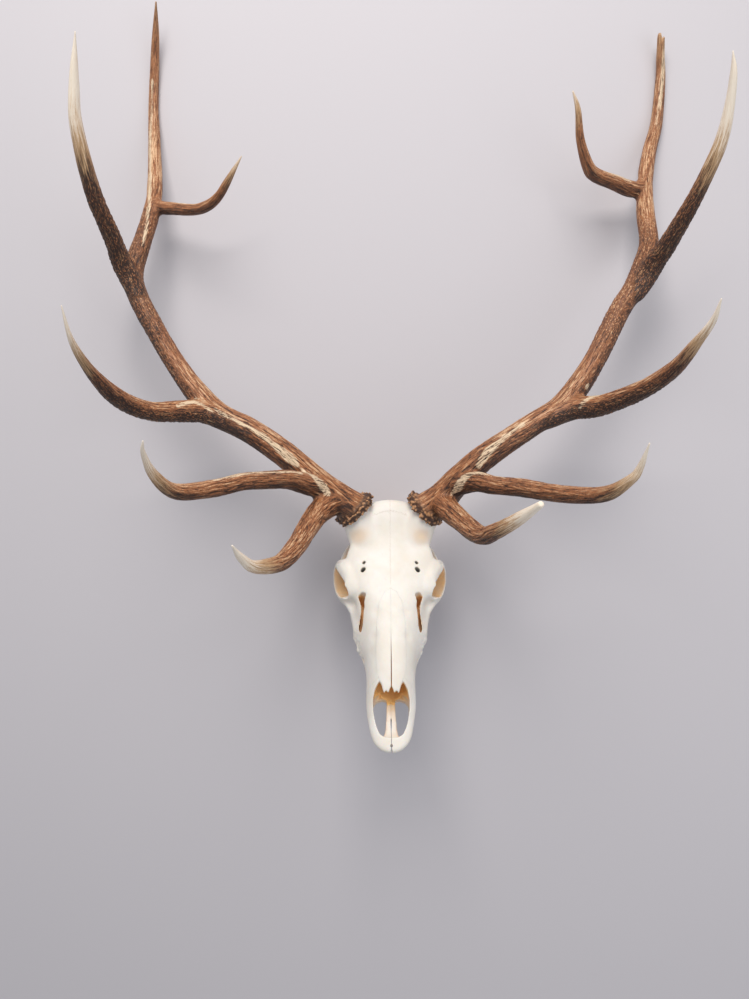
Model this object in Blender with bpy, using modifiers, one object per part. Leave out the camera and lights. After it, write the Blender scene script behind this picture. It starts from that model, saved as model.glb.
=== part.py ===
"""Elk skull with both antlers, as it lies on a surface with its nose up.

Every piece is modelled in the skull's own directions and then laid down as a whole:
x points to the animal's left, y runs back from the tip of the nose, and z runs up from
the plane that the cheek teeth bite on. Routes and outlines are written in millimetres.
"""

import math

import bmesh
import bpy
from mathutils import Matrix, Vector

MM = 0.001
JOINT_GAP = 0.3
RING_SIDES_RESOLUTION = 3
BALL_SEGMENTS = 14
BALL_RINGS = 8
BEAM_STEP = 33.0
TINE_STEP = 34.0

ORBIT_CENTRE = (83, 291, 92)
ORBIT_AXIS = (0.9, -0.3, 0.32)
ORBIT_RADIUS = 28.0
ORBIT_RIM = 6.5
ORBIT_DEPTH = 36.0
BONE_VOXEL = 2.4
BONE_SMOOTHING = 14
BONE_TRIANGLES = 1500

BURR_CENTRE = (61.5, 390, 169.5)
BURR_AXIS = (0.62, 0.3, 0.72)
BURR_RADIUS = 37.0
BURR_LENGTH = 17.0
BURR_FOOT = 3.0
BURR_ROOM = 34.0
BURR_PEARLS = 13
BURR_RELIEF = 0.1
BURR_CLEARANCE = 2.0
BURR_RESOLUTION = 6
SQUARE_STUB = 4.0

FLAT_DEPTH = 0.7
FLOOR_HALF = 1.5

BONE = ((0.91, 0.85, 0.76), 0.55)
TOOTH = ((0.86, 0.79, 0.66), 0.35)
ANTLER = ((0.24, 0.13, 0.07), 0.6)
PALE_ANTLER = ((0.66, 0.55, 0.42), 0.4)

# Half sections of the skull, from the nose to the nape. Each has its y, and then x and z of
# top middle, top edge, upper side, widest place, lower side, base edge and base middle.
SKULL_SECTIONS = [
    (4, (0, 26), (6, 26), (10, 24), (12, 20), (10, 16), (6, 14), (0, 14)),
    (20, (0, 31), (14, 31), (28, 28), (33, 22), (30, 14), (17, 11), (0, 12)),
    (47, (0, 44), (20, 43), (34, 35), (38, 25), (35, 15), (20, 10), (0, 12)),
    (75, (0, 66), (19, 63), (36, 47), (44, 30), (41, 17), (24, 9), (0, 12)),
    (105, (0, 88), (20, 85), (35, 64), (43, 40), (39, 20), (26, 9), (0, 14)),
    (140, (0, 100), (22, 96), (37, 73), (43, 46), (39, 22), (32, 9), (0, 16)),
    (172, (0, 108), (24, 104), (41, 82), (49, 56), (54, 34), (44, 11), (0, 18)),
    (208, (0, 117), (27, 113), (47, 92), (65, 66), (71, 42), (51, 13), (0, 18)),
    (243, (0, 126), (35, 122), (56, 102), (67, 74), (67, 48), (50, 14), (0, 18)),
    (275, (0, 133), (48, 130), (76, 115), (82, 86), (62, 54), (42, 18), (0, 22)),
    (302, (0, 139), (58, 136), (88, 120), (72, 92), (42, 54), (26, 26), (0, 28)),
    (327, (0, 146), (62, 142), (84, 128), (62, 98), (38, 62), (22, 30), (0, 30)),
    (352, (0, 157), (56, 154), (70, 138), (52, 100), (38, 62), (20, 32), (0, 32)),
    (378, (0, 176), (46, 174), (54, 148), (50, 102), (44, 62), (22, 34), (0, 32)),
    (400, (0, 188), (40, 186), (47, 152), (52, 100), (47, 58), (24, 34), (0, 32)),
    (417, (0, 166), (32, 158), (44, 130), (50, 92), (40, 56), (20, 38), (0, 34)),
    (430, (0, 128), (24, 122), (34, 104), (38, 80), (28, 60), (16, 48), (0, 46)),
]

# Bony knobs as a centre and radii, modelled on the animal's left side and mirrored.
SKULL_KNOBS = {
    "orbit_wall": ((63, 285, 92), (34, 35, 32)),
    "cheek_knob": ((45, 190, 38), (13, 20, 12)),
    "ear_tube": ((50, 392, 62), (19, 12, 17)),
    "ear_bulla": ((30, 384, 26), (12, 19, 15)),
    "neck_condyle": ((22, 432, 44), (15, 13, 20)),
    "throat_plate": ((19, 306, 24), (5, 30, 22)),
}
NAPE_CREST = ((0, 420, 122), (44, 11, 9))

# Swept bones as x, y, z and radius along their route, on the animal's left side.
CHEEK_ARCH = [(52, 215, 50, 13), (60, 245, 54, 12), (67, 261, 56, 10), (84, 281, 57, 10.5),
              (88, 308, 57, 9.5), (87, 340, 57, 8.5), (78, 368, 64, 8.5), (56, 392, 76, 10)]
CHEEK_RIDGE = [(56, 205, 58, 8), (62, 240, 65, 9), (80, 270, 68, 8), (90, 300, 64, 6)]
EYE_BAR = [(82, 312, 120, 10), (90, 323, 98, 7), (91, 322, 78, 7), (90, 314, 62, 7)]
PEDICLE = [(44, 350, 128, 30), (54, 370, 148, 28), (65, 389, 172, 26)]
JUGULAR_HORN = [(40, 412, 46, 11), (43, 419, 24, 8), (43, 421, 4, 6)]

# Openings, seen from above as x and y, on the animal's left side.
NOSE_OPENING = [(0, 15), (9, 18), (18, 31), (24, 46), (28, 64), (29, 82), (26, 93), (19, 102),
                (15, 94), (11.5, 84), (9.5, 83), (8, 89), (6.5, 84), (4, 83), (2, 87), (0, 89)]
PALATE_SLOT = [(7, 92), (7.5, 78), (9, 60), (10.5, 45), (14, 35), (18, 35), (22, 43), (26, 58),
               (28, 74), (28, 85), (23, 93), (14, 97)]
TEAR_SLIT = [(42, 250), (49, 253), (56, 250), (53, 239), (50.5, 226), (50.3, 219), (52.5, 210),
             (51.5, 198), (49, 189), (47, 194), (46, 206), (46.2, 220), (45, 235)]
BROW_HOLE = (45, 288)
BROW_HOLE_HALVES = (4.5, 3.2)

# The hollow of the nose as y, half width, floor and roof.
NOSE_HOLLOW = [(60, 24.5, 27, 48), (90, 26.5, 24, 71), (125, 27.5, 22, 87), (165, 28, 24, 97),
               (205, 25, 30, 105), (238, 16, 44, 109)]

NASAL_EDGE = [(18.4, 70), (18.8, 104), (24.5, 118), (25.5, 150), (24, 195), (20, 228), (10, 246), (0.2, 252)]
NASAL_SLIT = [(0.2, 180), (0.4, 160), (0.9, 130), (1, 70)]
NASAL_SLOPE = 0.27
NOSE_FLOOR = 21.4
NASAL_FLOOR = 53
MUZZLE_SEAM_Y = 90
MUZZLE_SEAM_SLOPE = 0.3
MUZZLE_SEAM_Z = 20
MUZZLE_SLIT = 0.8
MUZZLE_HALF_WIDTH = 90
MUZZLE_FRONT = -20
MUZZLE_HEIGHTS = (-20, 80)
TOP_OF_ALL = 260
TEAR_SLIT_FLOOR = 66
PALATE_SLOT_HEIGHTS = (-10, 40)
BROW_HOLE_HEIGHT = 128
BROW_HOLE_DEPTH = 12
NAPE_HOLE = ((0, 446, 58), (15, 60, 14))
THROAT_HOLLOW = ((0, 318, 20), (14, 34, 22))
HOLLOW_SIDES = 12
SOFT_EDGE_ANGLE = 40

# Cheek teeth from front to back: y of the middle, length along the jaw, width, x of the middle.
TEETH = [
    ("second_premolar", 166, 15, 14, 39),
    ("third_premolar", 183, 16, 17, 42),
    ("fourth_premolar", 200, 15, 20, 44),
    ("first_molar", 219, 20, 22, 45.5),
    ("second_molar", 241, 22, 23, 46),
    ("third_molar", 264, 22, 21, 44.5),
]
TOOTH_GAP = 0.6
TOOTH_TOP = 21.0
TOOTH_CROWN = 3.0
TOOTH_SIDES = 12
LOBE_DENT = 0.14
SOCKET_FLOOR = -2.0

# Rings of the knobbly collar at the foot of an antler, as share of its length and of its radius.
BURR_RINGS = [(0.0, 0.95), (0.3, 1.0), (0.65, 0.97), (1.0, 0.74)]

# Antler routes as x, y, z and radius, hand-placed along the middle of each beam and tine.
RIGHT_BEAM = [(-71, 392.5, 177.5, 28), (-90, 398, 190, 27.5), (-130, 413, 220, 25), (-185, 440, 262, 23),
              (-245, 465, 295, 22), (-295, 484, 312, 22), (-335, 516, 336, 20), (-370, 555, 364, 18),
              (-405, 602, 397, 17.5), (-440, 658, 431, 19), (-452, 700, 450, 18.5),
              (-440, 757, 476, 16), (-429, 812, 500, 15), (-428, 868, 523, 13.5),
              (-435, 940, 555, 11.5), (-439, 1000, 594, 9.5), (-435, 1046, 643, 8.5),
              (-427, 1076, 695, 6.5), (-419, 1094, 744, 1.5)]
LEFT_BEAM = [(73, 394, 176.5, 28), (92, 400, 190, 27.5), (120, 415, 220, 25), (160, 434, 255, 23),
             (203, 452, 281, 21), (250, 474, 303, 20.5), (290, 492, 318, 21.5), (322, 522, 340, 20.5),
             (354, 563, 369, 19), (396, 631, 414, 19), (424, 669, 435, 19), (445, 707, 454, 19.5),
             (461, 755, 473, 17), (461, 808, 496, 16), (465, 858, 517, 14.5), (478, 923, 545, 13),
             (497, 982, 581, 11), (502, 1037, 635, 9), (498, 1056, 666, 7.5), (494, 1072, 697, 6.5)]
RIGHT_FORKS = (6, 10)
LEFT_FORKS = (7, 11)

# What each tine grows from or passes close to, and is cut to fit.
TINE_NEIGHBOURS = {
    "brow_tine": ("lower_beam",),
    "bez_tine": ("lower_beam", "brow_tine"),
    "trez_tine": ("lower_beam", "middle_beam"),
    "royal_tine": ("middle_beam", "upper_beam"),
    "fifth_tine": ("upper_beam",),
}

# What touches the surface when the skull lies down, the nape first and then a beam each side.
CONTACTS = ("cranium", "left_upper_beam", "right_upper_beam")
FIRST_PITCH = -40
RESTING_STEPS = 30

RIGHT_TINES = {
    "brow_tine": [(-93, 393, 190, 16), (-116, 368, 203, 22), (-130, 332, 217, 19.5), (-140, 290, 237, 17.5),
                  (-150, 245, 258, 16), (-168, 188, 293, 13.5), (-195, 143, 347, 9.5), (-208, 131, 385, 6),
                  (-214, 123, 424, 1)],
    "bez_tine": [(-120, 404, 216, 14), (-145, 386, 246, 19), (-170, 367, 277, 16.5), (-197, 338, 309, 15),
                 (-230, 300, 348, 14), (-262, 260, 380, 13.5), (-302, 216, 424, 11.5), (-320, 203, 472, 7.5),
                 (-323, 199, 520, 3.5), (-318, 198, 543, 1)],
    "trez_tine": [(-322, 494, 322, 13), (-352, 462, 340, 18.5), (-385, 431, 370, 16), (-410, 411, 404, 15),
                  (-426, 396, 442, 13.5), (-440, 382, 500, 8.5), (-446, 374, 560, 4.5), (-445, 380, 614, 1)],
    "royal_tine": [(-450, 694, 446, 11), (-461, 690, 484, 16.5), (-466, 688, 520, 15.5),
                   (-477, 690, 605, 13.5), (-480, 708, 700, 10), (-470, 722, 757, 7.5),
                   (-453, 736, 821, 1)],
    "fifth_tine": [(-428, 822, 504, 9), (-394, 810, 509, 11), (-346, 790, 517, 10), (-318, 779, 531, 9),
                   (-296, 776, 550, 7.5), (-277, 778, 576, 6), (-249, 784, 616, 1)],
}
LEFT_TINES = {
    "brow_tine": [(82, 394, 188, 16), (99, 362, 204, 20.5), (115, 324, 224, 18), (129, 284, 249, 17),
                  (142, 250, 277, 15), (156, 231, 314, 12.8), (170, 217, 349, 11), (183, 205, 383, 9),
                  (199, 191, 426, 5)],
    "bez_tine": [(113, 406, 217, 14), (144, 378, 259, 17), (166, 349, 284, 15.5), (197, 312, 321, 15),
                 (252, 243, 386, 13), (287, 201, 437, 11), (307, 188, 481, 7), (314, 189, 502, 5),
                 (316, 193, 544, 1)],
    "trez_tine": [(320, 500, 324, 13), (342, 474, 342, 18.5), (361, 456, 367, 17), (395, 428, 423, 15),
                  (419, 407, 483, 12), (429, 394, 540, 8), (435, 385, 585, 4.5), (434, 385, 621, 1)],
    "royal_tine": [(443, 700, 450, 11), (454, 690, 483, 17.5), (465, 683, 516, 16), (480, 682, 579, 13.5),
                   (493, 689, 634, 11.5), (500, 694, 685, 10), (497, 700, 734, 7.5), (489, 706, 779, 5),
                   (480, 710, 805, 1)],
    "fifth_tine": [(461, 853, 514, 9), (440, 847, 523, 14), (412, 840, 535, 13.5), (361, 827, 561, 12),
                   (344, 827, 577, 10.5), (324, 838, 617, 7.3), (314, 856, 661, 5), (302, 865, 686, 1)],
}


def clear_scene():
    for old in list(bpy.data.objects):
        bpy.data.objects.remove(old, do_unlink=True)


def new_collection(name, shown=True):
    collection = bpy.data.collections.new(name)
    bpy.context.scene.collection.children.link(collection)
    collection.hide_render = not shown
    return collection


def link_mesh(name, bm, collection):
    """Turn a bmesh into a named object of the given collection."""
    bmesh.ops.recalc_face_normals(bm, faces=bm.faces)
    mesh = bpy.data.meshes.new(name)
    bm.to_mesh(mesh)
    bm.free()
    obj = bpy.data.objects.new(name, mesh)
    collection.objects.link(obj)
    return obj


def point(values):
    return Vector(values[:3]) * MM


def baked(obj, name, collection):
    """A plain mesh copy of an object with its modifiers applied. The object itself goes."""
    bpy.context.view_layer.update()
    evaluated = obj.evaluated_get(bpy.context.evaluated_depsgraph_get())
    mesh = bpy.data.meshes.new_from_object(evaluated)
    bm = bmesh.new()
    bm.from_mesh(mesh)
    bmesh.ops.remove_doubles(bm, verts=bm.verts, dist=0.00001)
    bm.to_mesh(mesh)
    bm.free()
    place = obj.matrix_world.copy()
    bpy.data.objects.remove(obj, do_unlink=True)
    copy = bpy.data.objects.new(name, mesh)
    copy.matrix_world = place
    collection.objects.link(copy)
    return copy


def boolean(obj, other, operation):
    modifier = obj.modifiers.new(operation.lower(), "BOOLEAN")
    modifier.operation = operation
    modifier.solver = "EXACT"
    modifier.object = other
    return modifier


def mirrored(values):
    return (-values[0],) + tuple(values[1:])


def sign_of(side):
    return 1 if side == "left" else -1


def on_side(side, values):
    return tuple(values) if side == "left" else mirrored(values)


def both_sides(route):
    return {"left": route, "right": [mirrored(entry) for entry in route]}


def smooth_route(route, step):
    """Points of a smooth curve through the route, closely spaced, each with its radius."""
    points = [Vector(entry) for entry in route]
    ends = [2 * points[0] - points[1]] + points + [2 * points[-1] - points[-2]]
    result = []
    for i in range(1, len(ends) - 2):
        before, start, end, after = ends[i - 1:i + 3]
        count = max(1, round((end - start).length / step))
        for k in range(count):
            t = k / count
            result.append(0.5 * (2 * start + (end - before) * t
                                 + (2 * before - 5 * start + 4 * end - after) * t * t
                                 + (3 * start - before - 3 * end + after) * t ** 3))
    result.append(points[-1])
    return result


def tube(name, points, collection, extra=0.0, resolution=RING_SIDES_RESOLUTION):
    """A round, tapering bar along the points, as a closed mesh."""
    curve = bpy.data.curves.new(name, "CURVE")
    curve.dimensions = "3D"
    curve.bevel_depth = MM
    curve.bevel_resolution = resolution
    curve.use_fill_caps = True
    curve.twist_mode = "MINIMUM"
    spline = curve.splines.new("POLY")
    spline.points.add(len(points) - 1)
    for target, source in zip(spline.points, points):
        target.co = (*point(source), 1.0)
        target.radius = source[3] + extra
    bar = bpy.data.objects.new(name, curve)
    collection.objects.link(bar)
    return baked(bar, name, collection)


def ball(name, centre, radii, collection):
    bm = bmesh.new()
    bmesh.ops.create_uvsphere(bm, u_segments=BALL_SEGMENTS, v_segments=BALL_RINGS, radius=1.0)
    bmesh.ops.scale(bm, vec=point(radii), verts=bm.verts)
    bmesh.ops.translate(bm, vec=point(centre), verts=bm.verts)
    return link_mesh(name, bm, collection)


def prism(name, outline, low, high, collection):
    """An outline seen from above, standing from one height to another."""
    bm = bmesh.new()
    corners = [bm.verts.new(point((x, y, low))) for x, y in outline]
    face = bm.faces.new(corners)
    raised = bmesh.ops.extrude_face_region(bm, geom=[face])["geom"]
    top = [item for item in raised if isinstance(item, bmesh.types.BMVert)]
    bmesh.ops.translate(bm, vec=(0, 0, (high - low) * MM), verts=top)
    return link_mesh(name, bm, collection)


def section_loft(name, sections, collection):
    """A closed body through sections that each hold the same number of points."""
    bm = bmesh.new()
    rings = [[bm.verts.new(point(place)) for place in section] for section in sections]
    for front, back in zip(rings, rings[1:]):
        for i, corner in enumerate(front):
            j = (i + 1) % len(front)
            bm.faces.new((corner, front[j], back[j], back[i]))
    bm.faces.new(rings[0])
    bm.faces.new(rings[-1])
    return link_mesh(name, bm, collection)


def skull_body(collection):
    """The long case of the skull, from a coarse cage that is subdivided."""
    sections = []
    for y, *half in SKULL_SECTIONS:
        left = [(x, y, z) for x, z in half]
        right = [(-x, y, z) for x, z in reversed(half[1:-1])]
        sections.append(left + right)
    body = section_loft("skull_body", sections, collection)
    rounding = body.modifiers.new("rounding", "SUBSURF")
    rounding.levels = 2
    rounding.render_levels = 2
    return body


def added(name, collection):
    """The primitive that was just added, named and moved to its collection."""
    obj = bpy.context.object
    obj.name = name
    for owner in list(obj.users_collection):
        owner.objects.unlink(obj)
    collection.objects.link(obj)
    return obj


def orbit_ring(side, collection):
    """The bony rim round one eye, a torus that faces out, forward and a little up."""
    turn = Vector(on_side(side, ORBIT_AXIS)).to_track_quat("Z", "Y")
    bpy.ops.mesh.primitive_torus_add(
        major_segments=28, minor_segments=10, major_radius=(ORBIT_RADIUS + ORBIT_RIM / 2) * MM,
        minor_radius=ORBIT_RIM * MM, location=point(on_side(side, ORBIT_CENTRE)),
        rotation=turn.to_euler())
    return added(f"orbit_ring_{side}", collection)


def orbit_cutter(side, collection):
    """The deep cup of one eye socket."""
    cup = ball(f"orbit_cup_{side}", (0, 0, 0), (ORBIT_RADIUS, ORBIT_RADIUS, ORBIT_DEPTH), collection)
    turn = Vector(on_side(side, ORBIT_AXIS)).to_track_quat("Z", "Y").to_matrix().to_4x4()
    cup.data.transform(Matrix.Translation(point(on_side(side, ORBIT_CENTRE))) @ turn)
    return cup


def skull_form(collection):
    """The outside of the whole skull, grown together into one smooth body."""
    form = skull_body(collection)
    additions = [ball("nape_crest", *NAPE_CREST, collection)]
    for side in ("left", "right"):
        for name, (centre, radii) in SKULL_KNOBS.items():
            additions.append(ball(f"{name}_{side}", on_side(side, centre), radii, collection))
        additions.append(orbit_ring(side, collection))
        for name, route in (("cheek_arch", CHEEK_ARCH), ("cheek_ridge", CHEEK_RIDGE),
                            ("eye_bar", EYE_BAR), ("pedicle", PEDICLE), ("jugular_horn", JUGULAR_HORN)):
            points = smooth_route(both_sides(route)[side], 10.0)
            additions.append(tube(f"{name}_{side}", points, collection))
    for addition in additions:
        boolean(form, addition, "UNION")
    remesh = form.modifiers.new("grown together", "REMESH")
    remesh.mode = "VOXEL"
    remesh.voxel_size = BONE_VOXEL * MM
    smooth = form.modifiers.new("smoothed", "SMOOTH")
    smooth.factor = 0.5
    smooth.iterations = BONE_SMOOTHING
    form = baked(form, "skull_form", collection)
    for addition in additions:
        bpy.data.objects.remove(addition, do_unlink=True)
    return form


def thinned(form, triangles, collection):
    """The same body with fewer triangles."""
    count = sum(len(face.vertices) - 2 for face in form.data.polygons)
    decimate = form.modifiers.new("fewer faces", "DECIMATE")
    decimate.ratio = triangles / count
    return baked(form, form.name, collection)


def nose_hollow(collection):
    """The long airway behind the nose opening."""
    sections = []
    for y, half, low, high in NOSE_HOLLOW:
        middle = (low + high) / 2
        rise = (high - low) / 2
        section = []
        for k in range(HOLLOW_SIDES):
            turn = 2 * math.pi * k / HOLLOW_SIDES
            section.append((half * math.sin(turn), y, middle + rise * math.cos(turn)))
        sections.append(section)
    return section_loft("nose_hollow", sections, collection)


def skull_openings(collection):
    """Everything that is hollow in the skull, as bodies to cut with."""
    cutters = [nose_hollow(collection)]
    opening = NOSE_OPENING + [(-x, y) for x, y in reversed(NOSE_OPENING[1:-1])]
    cutters.append(prism("nose_opening", opening, NOSE_FLOOR, TOP_OF_ALL, collection))
    cutters.append(ball("nape_hole", *NAPE_HOLE, collection))
    cutters.append(ball("throat_hollow", *THROAT_HOLLOW, collection))
    for side in ("left", "right"):
        cutters.append(orbit_cutter(side, collection))
        slot = both_sides(PALATE_SLOT)[side]
        cutters.append(prism(f"palate_slot_{side}", slot, *PALATE_SLOT_HEIGHTS, collection))
        slit = both_sides(TEAR_SLIT)[side]
        cutters.append(prism(f"tear_slit_{side}", slit, TEAR_SLIT_FLOOR, TOP_OF_ALL, collection))
        place = on_side(side, (*BROW_HOLE, BROW_HOLE_HEIGHT))
        cutters.append(ball(f"brow_hole_{side}", place, (*BROW_HOLE_HALVES, BROW_HOLE_DEPTH), collection))
    return cutters


def tooth_outline(length, width, lobes, extra):
    """A tooth seen from below: a rounded block with a dent between its lobes."""
    outline = []
    for k in range(TOOTH_SIDES):
        turn = 2 * math.pi * k / TOOTH_SIDES
        along = math.sin(turn)
        wave = math.cos((lobes * along + lobes - 1) * math.pi / 2)
        square = math.copysign(abs(along) ** 0.7, along)
        half_width = width / 2 * (1.0 - LOBE_DENT * abs(wave)) + extra
        outline.append((square * ((length - TOOTH_GAP) / 2 + extra), math.cos(turn) * half_width))
    return outline


def lofted_tooth(name, outline, centre, heights, collection):
    """An outline raised through heights that each have a scale of their own."""
    x, y = centre
    sections = []
    for z, scale in heights:
        sections.append([(x + across * scale, y + along * scale, z) for along, across in outline])
    return section_loft(name, sections, collection)


def tooth(name, side, y, length, width, x, collection):
    """A cheek tooth with its crown on the bite plane and its root in the jaw."""
    lobes = 1 if "premolar" in name else 2
    outline = tooth_outline(length, width, lobes, 0)
    heights = [(0, 0.9), (TOOTH_CROWN, 1.0), (TOOTH_TOP, 0.86)]
    return lofted_tooth(f"{side}_{name}", outline, (sign_of(side) * x, y), heights, collection)


def tooth_socket(name, side, y, length, width, x, collection):
    """The straight-sided pocket that a tooth stands in."""
    lobes = 1 if "premolar" in name else 2
    outline = tooth_outline(length, width, lobes, JOINT_GAP)
    heights = [(SOCKET_FLOOR, 1.0), (SOCKET_FLOOR + TOOTH_CROWN, 1.0), (TOOTH_TOP + JOINT_GAP, 1.0)]
    centre = (sign_of(side) * x, y)
    return lofted_tooth(f"{side}_{name}_socket", outline, centre, heights, collection)


def bone_piece(name, form, collection):
    """A copy of the skull's form, to be cut down to one of its bones."""
    piece = bpy.data.objects.new(name, form.data.copy())
    collection.objects.link(piece)
    return piece


def muzzle_block(name, low_x, high_x, extra, collection):
    """The space of the muzzle bones, up to the slanting seam behind them."""
    sections = []
    for z in MUZZLE_HEIGHTS:
        back = MUZZLE_SEAM_Y + extra + MUZZLE_SEAM_SLOPE * (z - MUZZLE_SEAM_Z)
        corners = ((low_x, MUZZLE_FRONT), (high_x, MUZZLE_FRONT), (high_x, back), (low_x, back))
        sections.append([(x, y, z) for x, y in corners])
    return section_loft(name, sections, collection)


def nasal_space(name, outline, drop, collection):
    """An outline seen from above, standing on a floor that rises backwards."""
    block = prism(name, outline, NASAL_FLOOR - drop, TOP_OF_ALL, collection)
    front = NASAL_EDGE[0][1] * MM
    for vertex in block.data.vertices:
        if vertex.co.z < TOP_OF_ALL * MM / 2:
            vertex.co.z += (vertex.co.y - front) * NASAL_SLOPE
    return block


def make_side_bones(side, form, cranium, nasal_seat, parts, cutters):
    """The muzzle bone, the nasal bone and the teeth of one side."""
    sign = sign_of(side)
    low_x, high_x = sorted((sign * MUZZLE_SLIT, sign * MUZZLE_HALF_WIDTH))
    premaxilla = bone_piece(f"{side}_premaxilla", form, parts)
    boolean(premaxilla, muzzle_block(f"muzzle_{side}", low_x, high_x, 0, cutters), "INTERSECT")
    boolean(premaxilla, nasal_seat, "DIFFERENCE")
    nasal = bone_piece(f"{side}_nasal_bone", form, parts)
    outline = both_sides(NASAL_EDGE + NASAL_SLIT)[side]
    boolean(nasal, nasal_space(f"nasal_{side}", outline, 0, cutters), "INTERSECT")
    for name, *sizes in TEETH:
        boolean(cranium, tooth_socket(name, side, *sizes, cutters), "DIFFERENCE")
        tooth(name, side, *sizes, parts)


def make_skull(parts, cutters):
    """The cranium, and the bones and teeth that are separate pieces in it."""
    form = thinned(skull_form(cutters), BONE_TRIANGLES, cutters)
    for opening in skull_openings(cutters):
        boolean(form, opening, "DIFFERENCE")
    form = baked(form, "skull_form", cutters)
    cranium = bone_piece("cranium", form, parts)
    muzzle = muzzle_block("muzzle_all", -MUZZLE_HALF_WIDTH, MUZZLE_HALF_WIDTH, JOINT_GAP, cutters)
    boolean(cranium, muzzle, "DIFFERENCE")
    wide_edge = [(x + JOINT_GAP, y + JOINT_GAP) for x, y in NASAL_EDGE]
    both_nasals = wide_edge + [mirrored(place) for place in reversed(wide_edge)]
    nasal_seat = nasal_space("nasal_seat", both_nasals, JOINT_GAP, cutters)
    boolean(cranium, nasal_seat, "DIFFERENCE")
    for side in ("left", "right"):
        make_side_bones(side, form, cranium, nasal_seat, parts, cutters)
    return cranium


def burr_seat(side):
    """The middle of an antler's foot, and the way that the foot faces."""
    return Vector(on_side(side, BURR_CENTRE)), Vector(on_side(side, BURR_AXIS)).normalized()


def burr_cutter(name, side, extra, length, collection):
    """A short fat disc where the burr sits, to part it from its neighbours."""
    start, axis = burr_seat(side)
    ends = [start - axis * (BURR_FOOT + extra), start + axis * length]
    radius = BURR_RADIUS * (1 + BURR_RELIEF) + BURR_CLEARANCE
    return tube(name, [(*end, radius) for end in ends], collection, resolution=BURR_RESOLUTION)


def burr(name, side, collection):
    """The knobbly collar at the foot of an antler."""
    start, axis = burr_seat(side)
    turn = axis.to_track_quat("Z", "Y").to_matrix()
    count = BURR_PEARLS * 2
    sections = []
    for height, swell in BURR_RINGS:
        section = []
        for k in range(count):
            angle = 2 * math.pi * k / count
            radius = BURR_RADIUS * swell * (1 + BURR_RELIEF * math.cos(BURR_PEARLS * angle))
            place = (radius * math.cos(angle), radius * math.sin(angle), height * BURR_LENGTH - BURR_FOOT)
            section.append(start + turn @ Vector(place))
        sections.append(section)
    return section_loft(name, sections, collection)


def square_stub(points, cut, sign):
    """Two points at a fork that end a run square across the beam, half a gap from it."""
    along = points[cut + 1] - points[cut - 1]
    along = along / along.to_3d().length
    return [points[cut] + along * (sign * distance) for distance in (JOINT_GAP / 2, SQUARE_STUB)]


def beam_runs(route, forks):
    """The beam's route, parted square across at its two main forks."""
    points = smooth_route(route, BEAM_STEP)
    cuts = []
    for index in forks:
        fork = Vector(route[index])
        cuts.append(min(range(len(points)), key=lambda i: (points[i] - fork).length))
    first, second = cuts
    before_first = square_stub(points, first, -1)[::-1]
    before_second = square_stub(points, second, -1)[::-1]
    return {
        "lower_beam": points[:first] + before_first,
        "middle_beam": square_stub(points, first, 1) + points[first + 1:second] + before_second,
        "upper_beam": square_stub(points, second, 1) + points[second + 1:],
    }


def make_antler(side, route, forks, tines, parts, cutters):
    """One antler as eight pieces that meet at its forks."""
    runs = beam_runs(route, forks)
    for name, points in runs.items():
        piece = tube(f"{side}_{name}", points, parts)
        if name == "lower_beam":
            boolean(piece, burr(f"{side}_burr", side, cutters), "UNION")
    for name, tine_route in tines.items():
        runs[name] = smooth_route(tine_route, TINE_STEP)
        piece = tube(f"{side}_{name}", runs[name], parts)
        for neighbour in TINE_NEIGHBOURS[name]:
            space = tube(f"{side}_{name}_{neighbour}_space", runs[neighbour], cutters, extra=JOINT_GAP)
            boolean(piece, space, "DIFFERENCE")
        if "lower_beam" in TINE_NEIGHBOURS[name]:
            collar = burr_cutter(f"{side}_{name}_burr_space", side, JOINT_GAP, BURR_LENGTH, cutters)
            boolean(piece, collar, "DIFFERENCE")


def world_points(obj):
    bpy.context.view_layer.update()
    evaluated = obj.evaluated_get(bpy.context.evaluated_depsgraph_get())
    mesh = evaluated.to_mesh()
    points = [obj.matrix_world @ vertex.co for vertex in mesh.vertices]
    evaluated.to_mesh_clear()
    return points


def lowest_point(cloud, turn):
    return min((turn @ place for place in cloud), key=lambda place: place.z)


def resting_turn(skull, left, right):
    """Turn the skull back and sideways until the nape and both beams reach the surface."""
    turn = Matrix.Rotation(math.radians(FIRST_PITCH), 3, "X")
    for _ in range(RESTING_STEPS):
        nape, left_low, right_low = [lowest_point(cloud, turn) for cloud in (skull, left, right)]
        beams = (left_low + right_low) / 2
        pitch = math.atan2(beams.z - nape.z, beams.y - nape.y)
        roll = math.atan2(left_low.z - right_low.z, left_low.x - right_low.x)
        turn = Matrix.Rotation(-pitch, 3, "X") @ Matrix.Rotation(roll, 3, "Y") @ turn
    return turn


def lay_down(parts):
    """Hang everything on one empty, turned and placed so that the skull rests on the surface."""
    clouds = {obj.name: world_points(obj) for obj in parts.objects}
    turn = resting_turn(*[clouds[name] for name in CONTACTS])
    turned = [turn @ place for cloud in clouds.values() for place in cloud]
    lowest = min(place.z for place in turned)
    middle = [(min(p[i] for p in turned) + max(p[i] for p in turned)) / 2 for i in (0, 1)]
    holder = bpy.data.objects.new("skull_at_rest", None)
    shift = Vector((-middle[0], -middle[1], -lowest - FLAT_DEPTH * MM))
    holder.matrix_world = Matrix.Translation(shift) @ turn.to_4x4()
    return holder


def surface_cutter(collection):
    """Everything below the surface that the skull lies on."""
    bpy.ops.mesh.primitive_cube_add(size=2 * FLOOR_HALF, location=(0, 0, -FLOOR_HALF))
    return added("below_the_surface", collection)


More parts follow.
